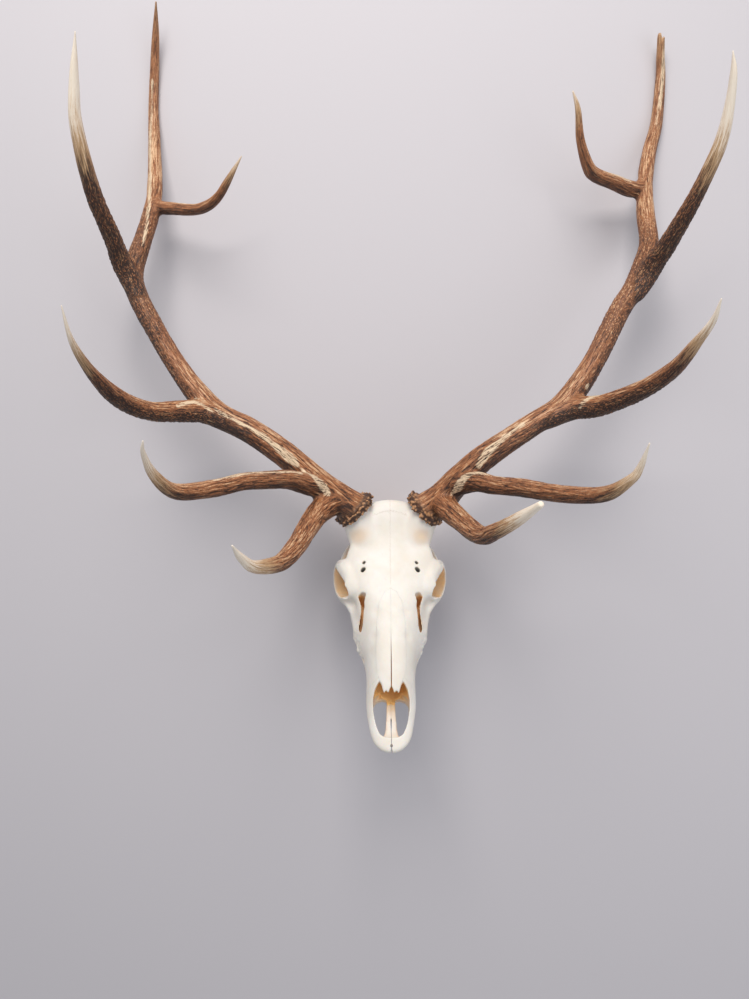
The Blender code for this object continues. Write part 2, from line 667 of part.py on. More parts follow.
def material(name, look):
    colour, roughness = look
    finish = bpy.data.materials.new(name)
    finish.use_nodes = True
    shader = finish.node_tree.nodes["Principled BSDF"]
    shader.inputs["Base Color"].default_value = (*colour, 1.0)
    shader.inputs["Roughness"].default_value = roughness
    shader.inputs["Metallic"].default_value = 0.0
    return finish


def look_of(name):
    if "molar" in name:
        return TOOTH
    if "royal" in name or "fifth" in name:
        return PALE_ANTLER
    if "beam" in name or "tine" in name:
        return ANTLER
    return BONE


def finish_piece(piece):
    """One material and soft shading over all but the real edges."""
    piece.data.materials.clear()
    piece.data.materials.append(material(f"{piece.name}_finish", look_of(piece.name)))
    piece.data.shade_smooth()
    piece.data.set_sharp_from_angle(angle=math.radians(SOFT_EDGE_ANGLE))


def main():
    clear_scene()
    parts = new_collection("elk_skull")
    cutters = new_collection("cutters", shown=False)
    cranium = make_skull(parts, cutters)
    antlers = (("left", LEFT_BEAM, LEFT_FORKS, LEFT_TINES), ("right", RIGHT_BEAM, RIGHT_FORKS, RIGHT_TINES))
    for side, route, forks, tines in antlers:
        make_antler(side, route, forks, tines, parts, cutters)
        seat = burr_cutter(f"{side}_burr_seat", side, JOINT_GAP, BURR_ROOM, cutters)
        boolean(cranium, seat, "DIFFERENCE")
    holder = lay_down(parts)
    for obj in list(parts.objects) + list(cutters.objects):
        obj.parent = holder
    parts.objects.link(holder)
    floor = surface_cutter(cutters)
    for name in CONTACTS:
        boolean(bpy.data.objects[name], floor, "DIFFERENCE")
    for piece in holder.children:
        if piece.name in parts.objects:
            finish_piece(piece)
    for cutter in cutters.objects:
        cutter.display_type = "WIRE"
        cutter.hide_render = True


main()
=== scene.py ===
# %% [markdown]
# # A bull elk's skull with both antlers
#
# The object is a bleached skull that leans back on its antlers with the nose up, seen from
# above. Bone and antler are grown things: nothing in them is a box or a cylinder, and no two
# stretches are alike. So this lesson models the big forms, lets a voxel remesh grow them
# together, and then gives the skin its relief with noise that follows each tine.
#
# The frame comes first. It holds the solid model of the same skull, in metres, as it lies on
# the ground, and every piece made here ends up where its solid is.

# %% Load the frame
import itertools
import math

import bpy
import numpy as np
from mathutils import Matrix, Vector
from mathutils.bvhtree import BVHTree


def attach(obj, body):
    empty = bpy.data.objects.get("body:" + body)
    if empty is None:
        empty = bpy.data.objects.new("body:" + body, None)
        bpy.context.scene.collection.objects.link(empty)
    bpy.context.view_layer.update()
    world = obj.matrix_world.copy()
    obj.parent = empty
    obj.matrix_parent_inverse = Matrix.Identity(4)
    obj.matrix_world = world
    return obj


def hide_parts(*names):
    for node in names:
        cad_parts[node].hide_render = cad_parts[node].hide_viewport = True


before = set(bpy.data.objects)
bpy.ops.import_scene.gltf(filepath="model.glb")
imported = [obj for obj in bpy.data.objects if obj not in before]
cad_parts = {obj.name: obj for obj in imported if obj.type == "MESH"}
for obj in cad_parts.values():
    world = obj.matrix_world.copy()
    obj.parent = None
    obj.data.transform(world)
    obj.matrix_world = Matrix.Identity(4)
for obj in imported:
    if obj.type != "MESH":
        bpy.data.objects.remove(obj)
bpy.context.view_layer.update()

MM = 0.001
SIDES = {"left": 1, "right": -1}

# %% [markdown]
# ## The skull's own directions
#
# A skull is easiest to model as anatomists draw it: x to the animal's left, y from the tip of
# the nose to the nape, z up from the plane that the cheek teeth bite on, all in millimetres.
# The frame has it leaning back at about 45 degrees instead. The turn between the two could be
# typed in, but the teeth already tell it: each tooth's middle is known in both, so the best
# rigid fit of twelve points gives the matrix, and it stays right if the frame changes.

# %% Where each cheek tooth stands, and the matrix that lays the skull down
# The place along the skull, length, width and place across it.
TEETH = {
    "second_premolar": (166, 15, 14, 39),
    "third_premolar": (183, 16, 17, 42),
    "fourth_premolar": (200, 15, 20, 44),
    "first_molar": (219, 20, 22, 45.5),
    "second_molar": (241, 22, 23, 46),
    "third_molar": (264, 22, 21, 44.5),
}
TOOTH_MIDDLE = 8.0


def node_points(name):
    """The corner points of a solid of the frame, each once, in metres."""
    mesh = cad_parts[name].data
    points = np.empty(len(mesh.vertices) * 3, np.float32)
    mesh.vertices.foreach_get("co", points)
    return np.unique(points.reshape(-1, 3).round(6), axis=0).astype(float)


def best_fit(own, placed):
    """The rigid turn and shift that carry one set of points onto another."""
    own_middle, placed_middle = own.mean(0), placed.mean(0)
    left, _, right = np.linalg.svd((own - own_middle).T @ (placed - placed_middle))
    flip = np.diag([1, 1, np.sign(np.linalg.det(left @ right))])
    turn = (left @ flip @ right).T
    matrix = Matrix(turn.tolist()).to_4x4()
    matrix.translation = Vector(placed_middle - turn @ own_middle)
    return matrix


own_places = [(sign * x, y, TOOTH_MIDDLE) for sign in SIDES.values() for y, _, _, x in TEETH.values()]
frame_places = [node_points(f"{side}_{name}").mean(0) for side in SIDES for name in TEETH]
AT_REST = best_fit(np.array(own_places) * MM, np.array(frame_places))
print("The skull leans back by", round(math.degrees(-AT_REST.to_euler().x), 2), "degrees")

# %% [markdown]
# ## Small helpers
#
# An operator works on whatever is selected, so every step starts by selecting one piece and
# nothing else, and ends by naming what it made. A mesh has too many points for a loop over
# them, so they are read and moved all at once, as one array.

# %% Select, modify, join and read
def only(*pieces):
    bpy.ops.object.select_all(action="DESELECT")
    for piece in pieces:
        piece.select_set(True)
    bpy.context.view_layer.objects.active = pieces[0]


def named(name):
    """Name what the last operator made."""
    piece = bpy.context.object
    piece.name = piece.data.name = name
    return piece


def modified(piece, kind, **settings):
    """Add a modifier with these settings and apply it at once."""
    modifier = piece.modifiers.new(kind, kind)
    for setting, value in settings.items():
        setattr(modifier, setting, value)
    only(piece)
    bpy.ops.object.modifier_apply(modifier=modifier.name)
    return piece


def joined(name, pieces):
    only(*pieces)
    bpy.ops.object.join()
    return named(name)


def points_of(piece, kind="co"):
    """The places of a mesh's points, or, as "normal", the ways that they face."""
    points = np.empty(len(piece.data.vertices) * 3)
    piece.data.vertices.foreach_get(kind, points)
    return points.reshape(-1, 3)


def move_points(piece, points):
    piece.data.vertices.foreach_set("co", np.ascontiguousarray(points).ravel())
    piece.data.update()


# %% [markdown]
# ## Camera, ground and light
#
# The photograph looks almost straight down on a skull that lies on the floor, with the nose
# towards the bottom of the picture. The camera's place was found in the skull's directions, so
# the same matrix carries it into the frame.

# %% The camera
CAMERA_PLACE = Vector((-27.5, -480.6, 1246.0)) * MM
CAMERA_DIP = math.radians(50.3)
FOCAL_PIXELS = 777
IMAGE_HEIGHT = 999
SENSOR = 36.0

forward = Vector((0, math.cos(CAMERA_DIP), -math.sin(CAMERA_DIP)))
upward = Vector((0, math.sin(CAMERA_DIP), math.cos(CAMERA_DIP)))
camera_turn = Matrix((Vector((1, 0, 0)), upward, -forward)).transposed().to_4x4()
bpy.ops.object.camera_add()
camera = named("camera")
camera.data.sensor_fit = "VERTICAL"
camera.data.sensor_width = camera.data.sensor_height = SENSOR
camera.data.lens = FOCAL_PIXELS * SENSOR / IMAGE_HEIGHT
camera.data.clip_start = 0.02
camera.matrix_world = AT_REST @ Matrix.Translation(CAMERA_PLACE) @ camera_turn
bpy.context.scene.camera = camera
print("The camera hangs", round(camera.matrix_world.translation.z, 3), "m above the ground")

# %% Ground and lights
GROUND_SIZE = 12
GROUND_COLOUR = (0.56, 0.53, 0.55)
WORLD_COLOUR = (0.80, 0.84, 0.90)
WORLD_POWER = 0.5

bpy.ops.mesh.primitive_plane_add(size=GROUND_SIZE, location=(0, 0, -0.0005))
ground = named("ground")
ground.data.materials.append(bpy.data.materials.new("ground"))
ground.active_material.use_nodes = True
shader = ground.active_material.node_tree.nodes["Principled BSDF"]
shader.inputs["Base Color"].default_value = (*GROUND_COLOUR, 1)
shader.inputs["Roughness"].default_value = 0.9


def soft_light(name, place, target, size, power, colour):
    """A square studio light that faces a target."""
    bpy.ops.object.light_add(type="AREA", location=place)
    light = named(name)
    light.data.size = size
    light.data.energy = power
    light.data.color = colour
    light.rotation_mode = "QUATERNION"
    light.rotation_quaternion = (Vector(target) - Vector(place)).to_track_quat("-Z", "Y")


soft_light("key", (-0.3, 1.9, 2.2), (0, 0, 0.2), 1.6, 78, (1.0, 0.97, 0.93))
soft_light("fill", (1.6, -0.6, 2.0), (0, 0, 0.2), 1.8, 12, (0.95, 0.97, 1.0))
world = bpy.context.scene.world = bpy.data.worlds.new("studio")
world.use_nodes = True
background = world.node_tree.nodes["Background"]
background.inputs["Color"].default_value = (*WORLD_COLOUR, 1)
background.inputs["Strength"].default_value = WORLD_POWER
bpy.context.scene.view_settings.view_transform = "Standard"

# %% [markdown]
# ## Routes, bars and balls
#
# A bar with a changing thickness is what both a tine and a cheek arch start from: a curve
# through a few hand-placed points, each with a radius, turned into a mesh.

# %% A smooth route through a few points, and a bar along it
def smooth_route(route, step):
    """A Catmull-Rom curve through points of x, y, z and radius, with one point every step."""
    points = np.array(route, float)
    ends = np.vstack([2 * points[0] - points[1], points, 2 * points[-1] - points[-2]])
    result = []
    for before, start, end, after in zip(ends, ends[1:], ends[2:], ends[3:]):
        count = max(1, round(np.linalg.norm((end - start)[:3]) / step))
        for t in np.arange(count) / count:
            result.append(0.5 * (2 * start + (end - before) * t
                                 + (2 * before - 5 * start + 4 * end - after) * t ** 2
                                 + (3 * start - before - 3 * end + after) * t ** 3))
    return np.array(result + [points[-1]])


def linked(name, data):
    """A new piece of this curve or mesh, selected."""
    piece = bpy.data.objects.new(name, data)
    bpy.context.collection.objects.link(piece)
    only(piece)
    return piece


def bar(name, points):
    """A round bar along points of x, y, z and radius in millimetres, closed at both ends."""
    curve = bpy.data.curves.new(name, "CURVE")
    curve.dimensions = "3D"
    curve.bevel_depth = MM
    curve.bevel_resolution = 9
    curve.use_fill_caps = True
    spline = curve.splines.new("POLY")
    spline.points.add(len(points) - 1)
    for target, (x, y, z, radius) in zip(spline.points, points):
        target.co = (x * MM, y * MM, z * MM, 1)
        target.radius = radius
    linked(name, curve)
    bpy.ops.object.convert(target="MESH")
    return modified(bpy.context.object, "WELD", merge_threshold=0.00002)


def ball(name, centre, radii, segments=32):
    bpy.ops.mesh.primitive_uv_sphere_add(
        segments=segments, ring_count=segments // 2, radius=MM, location=Vector(centre) * MM, scale=radii)
    bpy.ops.object.transform_apply()
    return named(name)


# %% [markdown]
# ## Noise for relief
#
# Blender's noise textures live in materials. Relief that catches the light and shows in the
# outline has to move the mesh itself, so two kinds of noise are worked out here for all points
# at once: smooth gradient noise, for grooves, and cell noise, for pearls and pebbles.

# %% Smooth noise and cell noise
NOISE_GAIN = 1.6


def hashed(cells, seed):
    """A number from 0 to 255 for each whole-numbered cell, the same in every run."""
    order = np.random.default_rng(seed).permutation(256)
    x, y, z = (cells & 255).T
    return order[(order[(order[x] + y) & 255] + z) & 255]


def noise(points, seed=0):
    """Smooth noise, about -1 to 1."""
    gradients = np.random.default_rng(seed + 100).normal(size=(256, 3))
    gradients /= np.linalg.norm(gradients, axis=1)[:, None]
    cell = np.floor(points).astype(int)
    inside = points - cell
    fade = inside ** 3 * (inside * (inside * 6 - 15) + 10)
    total = np.zeros(len(points))
    for corner in itertools.product((0, 1), repeat=3):
        corner = np.array(corner)
        weight = np.where(corner == 1, fade, 1 - fade).prod(1)
        total += weight * (gradients[hashed(cell + corner, seed)] * (inside - corner)).sum(1)
    return total * NOISE_GAIN


def cell_distance(points, seed=0):
    """Distance to the nearest of points that are scattered one to a cell."""
    spots = np.random.default_rng(seed + 200).random((256, 3))
    cell = np.floor(points).astype(int)
    nearest = np.full(len(points), 9.0)
    for offset in itertools.product((-1, 0, 1), repeat=3):
        near = cell + np.array(offset)
        distance = np.linalg.norm(near + spots[hashed(near, seed)] - points, axis=1)
        nearest = np.minimum(nearest, distance)
    return nearest


# %% [markdown]
# ## Antlers
#
# An elk's antler is one beam with tines that leave it in order: brow and bez close above the
# burr, then trez, then the royal, the longest, and the fifth near the tip. It could be carved
# from one long cage, but a bar for each tine, joined by a voxel remesh, keeps every route easy
# to steer. The routes are listed as points of x, y, z and radius in millimetres. A tine's
# route sets out inside the beam and runs with it for a while, so that the fork grows smoothly.

# %% Routes of beams and tines
ROUTES = {
    "left": {
        "beam": [(67, 392, 172, 29), (92, 400, 190, 27.5), (120, 415, 220, 25), (160, 434, 255, 23),
                 (203, 452, 281, 21), (250, 474, 303, 20.5), (290, 492, 318, 21.5), (322, 522, 340, 20.5),
                 (354, 563, 369, 19), (396, 631, 414, 19), (424, 669, 435, 19), (445, 707, 454, 19.5),
                 (461, 755, 473, 17), (461, 808, 496, 16), (465, 858, 517, 14.5), (478, 923, 545, 13),
                 (497, 982, 581, 11), (502, 1037, 635, 9), (498, 1056, 666, 7.5), (494, 1072, 697, 6.5)],
        "brow": [(84, 395, 184, 20), (92, 382, 192, 21), (101, 360, 204, 20.5), (115, 324, 224, 18),
                 (129, 284, 249, 17), (142, 250, 277, 15), (156, 231, 314, 12.8), (170, 217, 349, 11),
                 (183, 205, 383, 9), (199, 191, 426, 5)],
        "bez": [(108, 406, 206, 18), (126, 396, 232, 18.5), (146, 377, 260, 17.5), (166, 349, 284, 15.5),
                (197, 312, 321, 15), (252, 243, 386, 13), (287, 201, 437, 11), (307, 188, 481, 7),
                (314, 189, 502, 5), (316, 193, 544, 1)],
        "trez": [(268, 477, 308, 19), (310, 484, 326, 20), (342, 470, 344, 18.5), (361, 456, 367, 17),
                 (395, 428, 423, 15), (419, 407, 483, 12), (429, 394, 540, 8), (435, 385, 585, 4.5),
                 (434, 385, 621, 1)],
        "royal": [(424, 655, 430, 17), (445, 680, 456, 19), (457, 687, 486, 18), (465, 683, 516, 16),
                  (480, 682, 579, 13.5), (493, 689, 634, 11.5), (500, 694, 685, 10), (497, 700, 734, 7.5),
                  (489, 706, 779, 5), (480, 710, 805, 1)],
        "fifth": [(463, 872, 521, 12), (448, 853, 520, 14), (425, 843, 529, 14), (402, 837, 541, 13),
                  (361, 827, 561, 12), (344, 827, 577, 10.5), (324, 838, 617, 7.3), (314, 856, 661, 5),
                  (302, 865, 686, 1)],
    },
    "right": {
        "beam": [(-66, 391, 174, 29), (-90, 398, 190, 27.5), (-130, 413, 220, 25), (-185, 440, 262, 23),
                 (-245, 465, 295, 22), (-295, 484, 312, 22), (-335, 516, 336, 20), (-370, 555, 364, 18),
                 (-405, 602, 397, 17.5), (-440, 658, 431, 19), (-452, 700, 450, 18.5), (-440, 757, 476, 16),
                 (-429, 812, 500, 15), (-428, 868, 523, 13.5), (-435, 940, 555, 11.5),
                 (-439, 1000, 594, 9.5), (-435, 1046, 643, 8.5), (-427, 1076, 695, 6.5),
                 (-419, 1094, 744, 1.5)],
        "brow": [(-82, 394, 184, 20), (-100, 384, 194, 22), (-116, 366, 203, 22), (-130, 332, 217, 19.5),
                 (-140, 290, 237, 17.5), (-150, 245, 258, 16), (-168, 188, 293, 13.5),
                 (-195, 143, 347, 9.5), (-208, 131, 385, 6), (-214, 123, 424, 1)],
        "bez": [(-112, 404, 206, 18), (-130, 395, 226, 19), (-147, 384, 247, 18.5), (-170, 367, 277, 16.5),
                (-197, 338, 309, 15), (-230, 300, 348, 14), (-262, 260, 380, 13.5), (-302, 216, 424, 11.5),
                (-320, 203, 472, 7.5), (-323, 199, 520, 3.5), (-318, 198, 543, 1)],
        "trez": [(-272, 472, 304, 19), (-318, 478, 324, 20), (-352, 460, 343, 18.5), (-385, 431, 370, 16),
                 (-410, 411, 404, 15), (-426, 396, 442, 13.5), (-440, 382, 500, 8.5), (-446, 374, 560, 4.5),
                 (-445, 380, 614, 1)],
        "royal": [(-432, 645, 424, 17), (-452, 675, 452, 18.5), (-463, 687, 484, 17.5),
                  (-466, 688, 520, 15.5), (-477, 690, 605, 13.5), (-480, 708, 700, 10),
                  (-470, 722, 757, 7.5), (-453, 736, 821, 1)],
        "fifth": [(-430, 835, 509, 11), (-412, 817, 506, 12), (-392, 808, 509, 11), (-346, 790, 517, 10),
                  (-318, 779, 531, 9), (-296, 776, 550, 7.5), (-277, 778, 576, 6), (-249, 784, 616, 1)],
    },
}
ROUTE_STEP = 6.0
routes = {side: {name: smooth_route(route, ROUTE_STEP) for name, route in ROUTES[side].items()}
          for side in SIDES}
for side in SIDES:
    length = np.linalg.norm(np.diff(routes[side]["beam"][:, :3], axis=0), axis=1).sum()
    print(f"The {side} beam is {length / 1000:.2f} m long along its curve")

# %% [markdown]
# ### Where a point lies on a route
#
# Everything on an antler follows its tines, so each point of the skin needs to know how far
# along a route it lies, how far round it, and how far off it. The angle round is measured from
# a direction that is carried along the route without twisting.

# %% The nearest place on a route
# How far off the second nearest bar, in metres, a point begins to count as lone, and fully does.
LONE = (0.002, 0.018)


def unit(vector):
    return vector / np.linalg.norm(vector)


def smoothstep(low, high, values):
    t = np.clip((values - low) / (high - low), 0, 1)
    return t * t * (3 - 2 * t)


def nearest_rows(points, places):
    """For each point, which of the places lies closest."""
    squares = (places ** 2).sum(1)
    return np.concatenate([np.argmin(squares - 2 * part @ places.T, axis=1)
                           for part in np.array_split(points, 24)])


class Nearest:
    """For every point of a mesh, where it lies on one route."""

    def __init__(self, points, route):
        centres, radii = route[:, :3] * MM, route[:, 3] * MM
        steps = np.diff(centres, axis=0)
        lengths = np.linalg.norm(steps, axis=1)
        starts = np.concatenate([[0], np.cumsum(lengths)])
        ways = steps / lengths[:, None]
        self.length = starts[-1]
        level = np.cross(ways[0], (0.3, 0.2, 0.9))
        levels = np.empty_like(ways)
        for i, way in enumerate(ways):
            levels[i] = level = unit(level - way * (level @ way))
        closest = nearest_rows(points, centres[:-1] + steps / 2)
        best = np.full(len(points), 9.0)
        self.along, self.radius = np.zeros((2, len(points)))
        offset, row = np.zeros_like(points), np.zeros(len(points), int)
        for shift in (0, -1, 1):
            near = np.clip(closest + shift, 0, len(steps) - 1)
            t = np.clip(((points - centres[near]) * ways[near]).sum(1) / lengths[near], 0, 1)
            away = points - centres[near] - t[:, None] * steps[near]
            distance = np.linalg.norm(away, axis=1)
            nearer = distance < best
            best = np.where(nearer, distance, best)
            self.along = np.where(nearer, starts[near] + t * lengths[near], self.along)
            self.radius = np.where(nearer, radii[near] * (1 - t) + radii[near + 1] * t, self.radius)
            offset[nearer], row[nearer] = away[nearer], near[nearer]
        self.beyond = best - self.radius
        self.share = self.along / self.length
        self.out = offset / np.maximum(best, 1e-6)[:, None]
        across = np.cross(ways[row], levels[row])
        self.turn = np.arctan2((offset * across).sum(1), (offset * levels[row]).sum(1))

    def at(self, there):
        """The same for some of the points only."""
        part = Nearest.__new__(Nearest)
        part.length = self.length
        for name in ("along", "radius", "beyond", "share", "out", "turn"):
            setattr(part, name, getattr(self, name)[there])
        return part


def all_nears(points, side):
    return {name: Nearest(points, route) for name, route in routes[side].items()}


def nearest_of(nears, values):
    """Of one array for each route, the row of the route whose bar is closest."""
    order = np.argmin([near.beyond for near in nears.values()], axis=0)
    return np.array(values)[order, np.arange(len(order))]


def lone_weight(nears):
    """0 where the skins of two bars meet, 1 on a single bar."""
    beyond = np.sort([near.beyond for near in nears.values()], axis=0)
    return smoothstep(*LONE, beyond[1])


# %% [markdown]
# ### Joining the tines
#
# The burr, the knobbly collar at the antler's foot, is a short fat disc with two rows of pearls.
# Everything is remeshed into one skin. Where two bars meet, the skin is smoothed much longer
# than elsewhere, which fills each crotch with the rounded web that a grown fork has. A remesh
# wears thin tips away, so the bars are made long and stout there, and afterwards the skin is
# drawn back to each route's own radius.

# %% The burr
BURR_CENTRE = (61.5, 390, 169.5)
BURR_AXIS = (0.62, 0.3, 0.72)
BURR_RADIUS = 37.0
BURR_PROFILE = [(-3.0, 0.9), (1.0, 0.99), (7.0, 0.97), (11.0, 0.84), (14.0, 0.72)]
BURR_PEARLS = 25
BURR_SEED = 5
PEARL_RADII = (3.4, 5.6)
# How high the two rows of pearls stand above the burr's middle, and how far a pearl strays.
PEARL_ROWS = (5.5, -1.5)
PEARL_STRAY = 1.5


def burr_place(side):
    """The middle of the burr and the way that its antler leaves it."""
    flip = np.array([SIDES[side], 1, 1])
    return np.array(BURR_CENTRE) * flip, unit(np.array(BURR_AXIS) * flip)


def above_burr(points, side):
    """How far each point lies above the burr's middle, and how far off its axis."""
    centre, axis = burr_place(side)
    height = (points - centre * MM) @ axis
    return height, np.linalg.norm(points - centre * MM - height[:, None] * axis, axis=1)


def burr_forms(side):
    """The disc of the burr and its pearls, no two of which are alike."""
    centre, axis = burr_place(side)
    level = unit(np.cross(axis, (0, 0, 1)))
    across = np.cross(axis, level)
    random = np.random.default_rng(BURR_SEED)
    forms = [bar("burr", [(*(centre + axis * height), BURR_RADIUS * swell)
                          for height, swell in BURR_PROFILE])]
    for i in range(BURR_PEARLS * 2):
        turn = (i + random.uniform(-0.3, 0.3)) * math.pi / BURR_PEARLS
        size = random.uniform(*PEARL_RADII)
        reach = BURR_RADIUS * random.uniform(0.94, 1.03)
        height = PEARL_ROWS[i % 2] + random.uniform(-PEARL_STRAY, PEARL_STRAY)
        place = centre + axis * height + reach * (math.cos(turn) * level + math.sin(turn) * across)
        forms.append(ball("pearl", place, (size, size, size * random.uniform(0.9, 1.3)), 12))
    return forms


# %% Smooth, remesh and thin a mesh
WEIGHT_STEPS = 20


def smoothed(piece, rounds, weights=None):
    """Smooth a mesh, all of it or each point by its own weight."""
    name = ""
    if weights is not None:
        group = piece.vertex_groups.new(name="smooth")
        name = group.name
        steps = np.round(np.clip(weights, 0, 1) * WEIGHT_STEPS).astype(int)
        for step in range(1, WEIGHT_STEPS + 1):
            group.add(np.nonzero(steps == step)[0].tolist(), step / WEIGHT_STEPS, "REPLACE")
    return modified(piece, "SMOOTH", factor=0.5, iterations=rounds, vertex_group=name)


def remeshed(piece, voxel):
    return modified(piece, "REMESH", mode="VOXEL", voxel_size=voxel)


def thinned(piece, triangles):
    """Bring a mesh down to a number of triangles."""
    count = sum(len(face.vertices) - 2 for face in piece.data.polygons)
    modified(piece, "DECIMATE", ratio=min(1, triangles / count))
    print(piece.name, "has", len(piece.data.polygons), "faces")


# %% Grow each antler together
STOUT = 3.2
OVERLENGTH = 4.0
ANTLER_VOXEL = 0.0026
ANTLER_TRIANGLES = 190000
WEB_ROUNDS = 40
# Between which heights above the burr, in metres, the webs and the bars' own radii set in.
WEBS_ABOVE_BURR = (0.014, 0.03)
DRAWN_ABOVE_BURR = (0.012, 0.024)


def long_bar(name, route):
    """A bar that is stout enough to survive the remesh, and longer than it has to be."""
    way = route[-1] - route[-2]
    end = route[-1] + way / np.linalg.norm(way[:3]) * OVERLENGTH
    stout = np.vstack([route, end])
    stout[:, 3] = np.maximum(stout[:, 3], STOUT)
    return bar(name, stout)


def drawn_back(points, side):
    """Points of a lone bar, moved to the radius that its route has there."""
    nears = all_nears(points, side)
    beyond = nearest_of(nears, [near.beyond for near in nears.values()])
    out = nearest_of(nears, [near.out for near in nears.values()])
    off_burr = smoothstep(*DRAWN_ABOVE_BURR, above_burr(points, side)[0])
    return points - out * (beyond * lone_weight(nears) * off_burr)[:, None]


def grown_antler(side):
    bars = [long_bar(f"{name}_bar", route) for name, route in routes[side].items()]
    antler = joined(f"{side}_antler", bars + burr_forms(side))
    points = points_of(remeshed(antler, ANTLER_VOXEL))
    off_burr = smoothstep(*WEBS_ABOVE_BURR, above_burr(points, side)[0])
    smoothed(antler, WEB_ROUNDS, (1 - lone_weight(all_nears(points, side))) * off_burr)
    smoothed(antler, 2)
    modified(antler, "SUBSURF", levels=1, render_levels=1)
    move_points(antler, drawn_back(points_of(antler), side))
    print(antler.name, "has", len(antler.data.vertices), "points before its relief")
    return antler


antlers = {side: grown_antler(side) for side in SIDES}

# %% [markdown]
# ### Grooves, pearls and the broken end
#
# Blood vessels leave long gutters on an antler, and between them the ridges break up into
# pearls. Seen as a pattern, that is noise stretched along the tine and wrapped round it: the
# wrapping angle and the way along the route are the two directions, and the angle is used as a
# point on a circle so that no seam shows. Near a fork a point belongs to two routes, so their
# patterns are blended by how close each bar is. The side that faces down and forward stays
# pearled, and the other side is rubbed smooth; the finish paints shade onto the side facing down.

# %% How deep, how pearled and how pale each route is
# How deep the relief is in millimetres, at shares of the way along each route.
RELIEF = {
    "beam": ([0, 0.1, 0.3, 0.45, 0.7, 1], [2.0, 1.8, 1.3, 1.0, 0.7, 0.5]),
    "brow": ([0, 0.55, 0.75, 0.9, 1], [2.0, 2.0, 1.2, 0.4, 0.1]),
    "bez": ([0, 0.6, 0.8, 0.9, 1], [1.8, 1.7, 1.0, 0.3, 0.1]),
    "trez": ([0, 0.5, 0.7, 0.85, 1], [1.3, 1.3, 0.8, 0.2, 0.05]),
    "royal": ([0, 0.35, 0.55, 0.8, 1], [1.2, 1.1, 0.6, 0.15, 0.05]),
    "fifth": ([0, 0.6, 0.8, 1], [0.7, 0.6, 0.25, 0.05]),
}
# The share of pearls in the relief, along each route.
PEARLED = {
    "beam": ([0, 0.15, 0.25, 0.45, 0.62, 0.68, 1], [0.1, 0.2, 0.5, 0.75, 0.6, 0.1, 0.05]),
    "brow": ([0, 1], [0.1, 0.0]), "bez": ([0, 1], [0.15, 0.1]),
    "trez": ([0, 0.4, 0.75, 1], [0.9, 0.8, 0.3, 0]),
    "royal": ([0, 0.45, 0.6, 1], [0.95, 0.9, 0.3, 0]), "fifth": ([0, 1], [0.1, 0]),
}
# Between which shares of each route the skin turns to ivory.
IVORY = {
    "beam": (0.94, 1.16), "brow": (0.62, 0.96), "bez": (0.73, 1.0), "trez": (0.68, 0.98),
    "royal": (0.48, 0.84), "fifth": (0.72, 1.12),
}

# %% The pattern on one route
# Cells round a bar, and the length of a cell in metres.
PEARL_SIZE = 0.0065
GUTTERS, FINE_GROOVES, PEARLS, GRAIN = (17, 0.1), (34, 0.045), (34, PEARL_SIZE), (30, 0.05)
# How much of the relief the wide gutters make up, and how slowly and far the pattern wanders.
GUTTER_SHARE = 0.62
WANDER_LENGTH = 0.06
WANDER = 0.5


def wrapped(near, cells_round, cell_length):
    """Pattern coordinates on a bar: cells round it, and cells along it."""
    ring = cells_round / (2 * math.pi)
    return np.stack([ring * np.cos(near.turn), ring * np.sin(near.turn), near.along / cell_length], axis=1)


def pearled_share(name, near, under):
    """How much of the relief is pearls instead of grooves."""
    share = np.interp(near.share, *PEARLED[name])
    lower_side = smoothstep(-0.4, 0.3, under)
    if name == "beam":
        return share * np.maximum(lower_side, smoothstep(0.34, 0.44, near.share))
    return share * lower_side if name == "trez" else share


def route_relief(name, near, points, under):
    """Height of the skin, 0 at the bottom of a groove and 1 on a ridge, and the relief's depth."""
    wander = noise(points / WANDER_LENGTH, 1)[:, None] * WANDER
    gutter = np.abs(noise(wrapped(near, *GUTTERS) + wander, 2))
    fine = np.abs(noise(wrapped(near, *FINE_GROOVES) + wander, 3))
    ridges = smoothstep(0.0, 0.24, gutter) * GUTTER_SHARE + smoothstep(0.0, 0.25, fine) * (1 - GUTTER_SHARE)
    pearls = smoothstep(0.6, 0.12, cell_distance(wrapped(near, *PEARLS) + wander, 4))
    pearled = pearled_share(name, near, under)
    depth = np.interp(near.share, *RELIEF[name])
    return ridges * (1 - pearled) + pearls * pearled, depth


# %% The patterns of all routes, blended
# The width over which they blend, the heights and distances over which the burr fades out, all
# in metres, and the way that is down and forward.
BLEND = 0.0022
BURR_FADE = (0.018, 0.009)
BURR_EDGE = (0.06, 0.05)
DOWNWARD = -np.array((0, math.sin(CAMERA_DIP), math.cos(CAMERA_DIP)))


def antler_relief(points, normals, side):
    """Blend the relief, its depth and the ivory of all routes that a point is close to."""
    nears = all_nears(points, side)
    under = normals @ DOWNWARD
    weights = {name: np.exp(-np.clip(near.beyond, -0.01, None) / BLEND) for name, near in nears.items()}
    total = sum(weights.values())
    height, depth, tip = np.zeros((3, len(points)))
    for name, near in nears.items():
        share = weights[name] / total
        there = share > 0.02
        own = near.at(there)
        own_height, own_depth = route_relief(name, own, points[there], under[there])
        height[there] += share[there] * own_height
        depth[there] += share[there] * own_depth
        tip[there] += share[there] * np.interp(own.share, IVORY[name], (0, 1))
    return height, depth * (0.55 + 0.45 * lone_weight(nears)), tip, nears


def burr_weight(points, side):
    """1 on the burr and its first centimetre, fading out above it."""
    height, away = above_burr(points, side)
    return smoothstep(*BURR_FADE, height) * smoothstep(*BURR_EDGE, away)


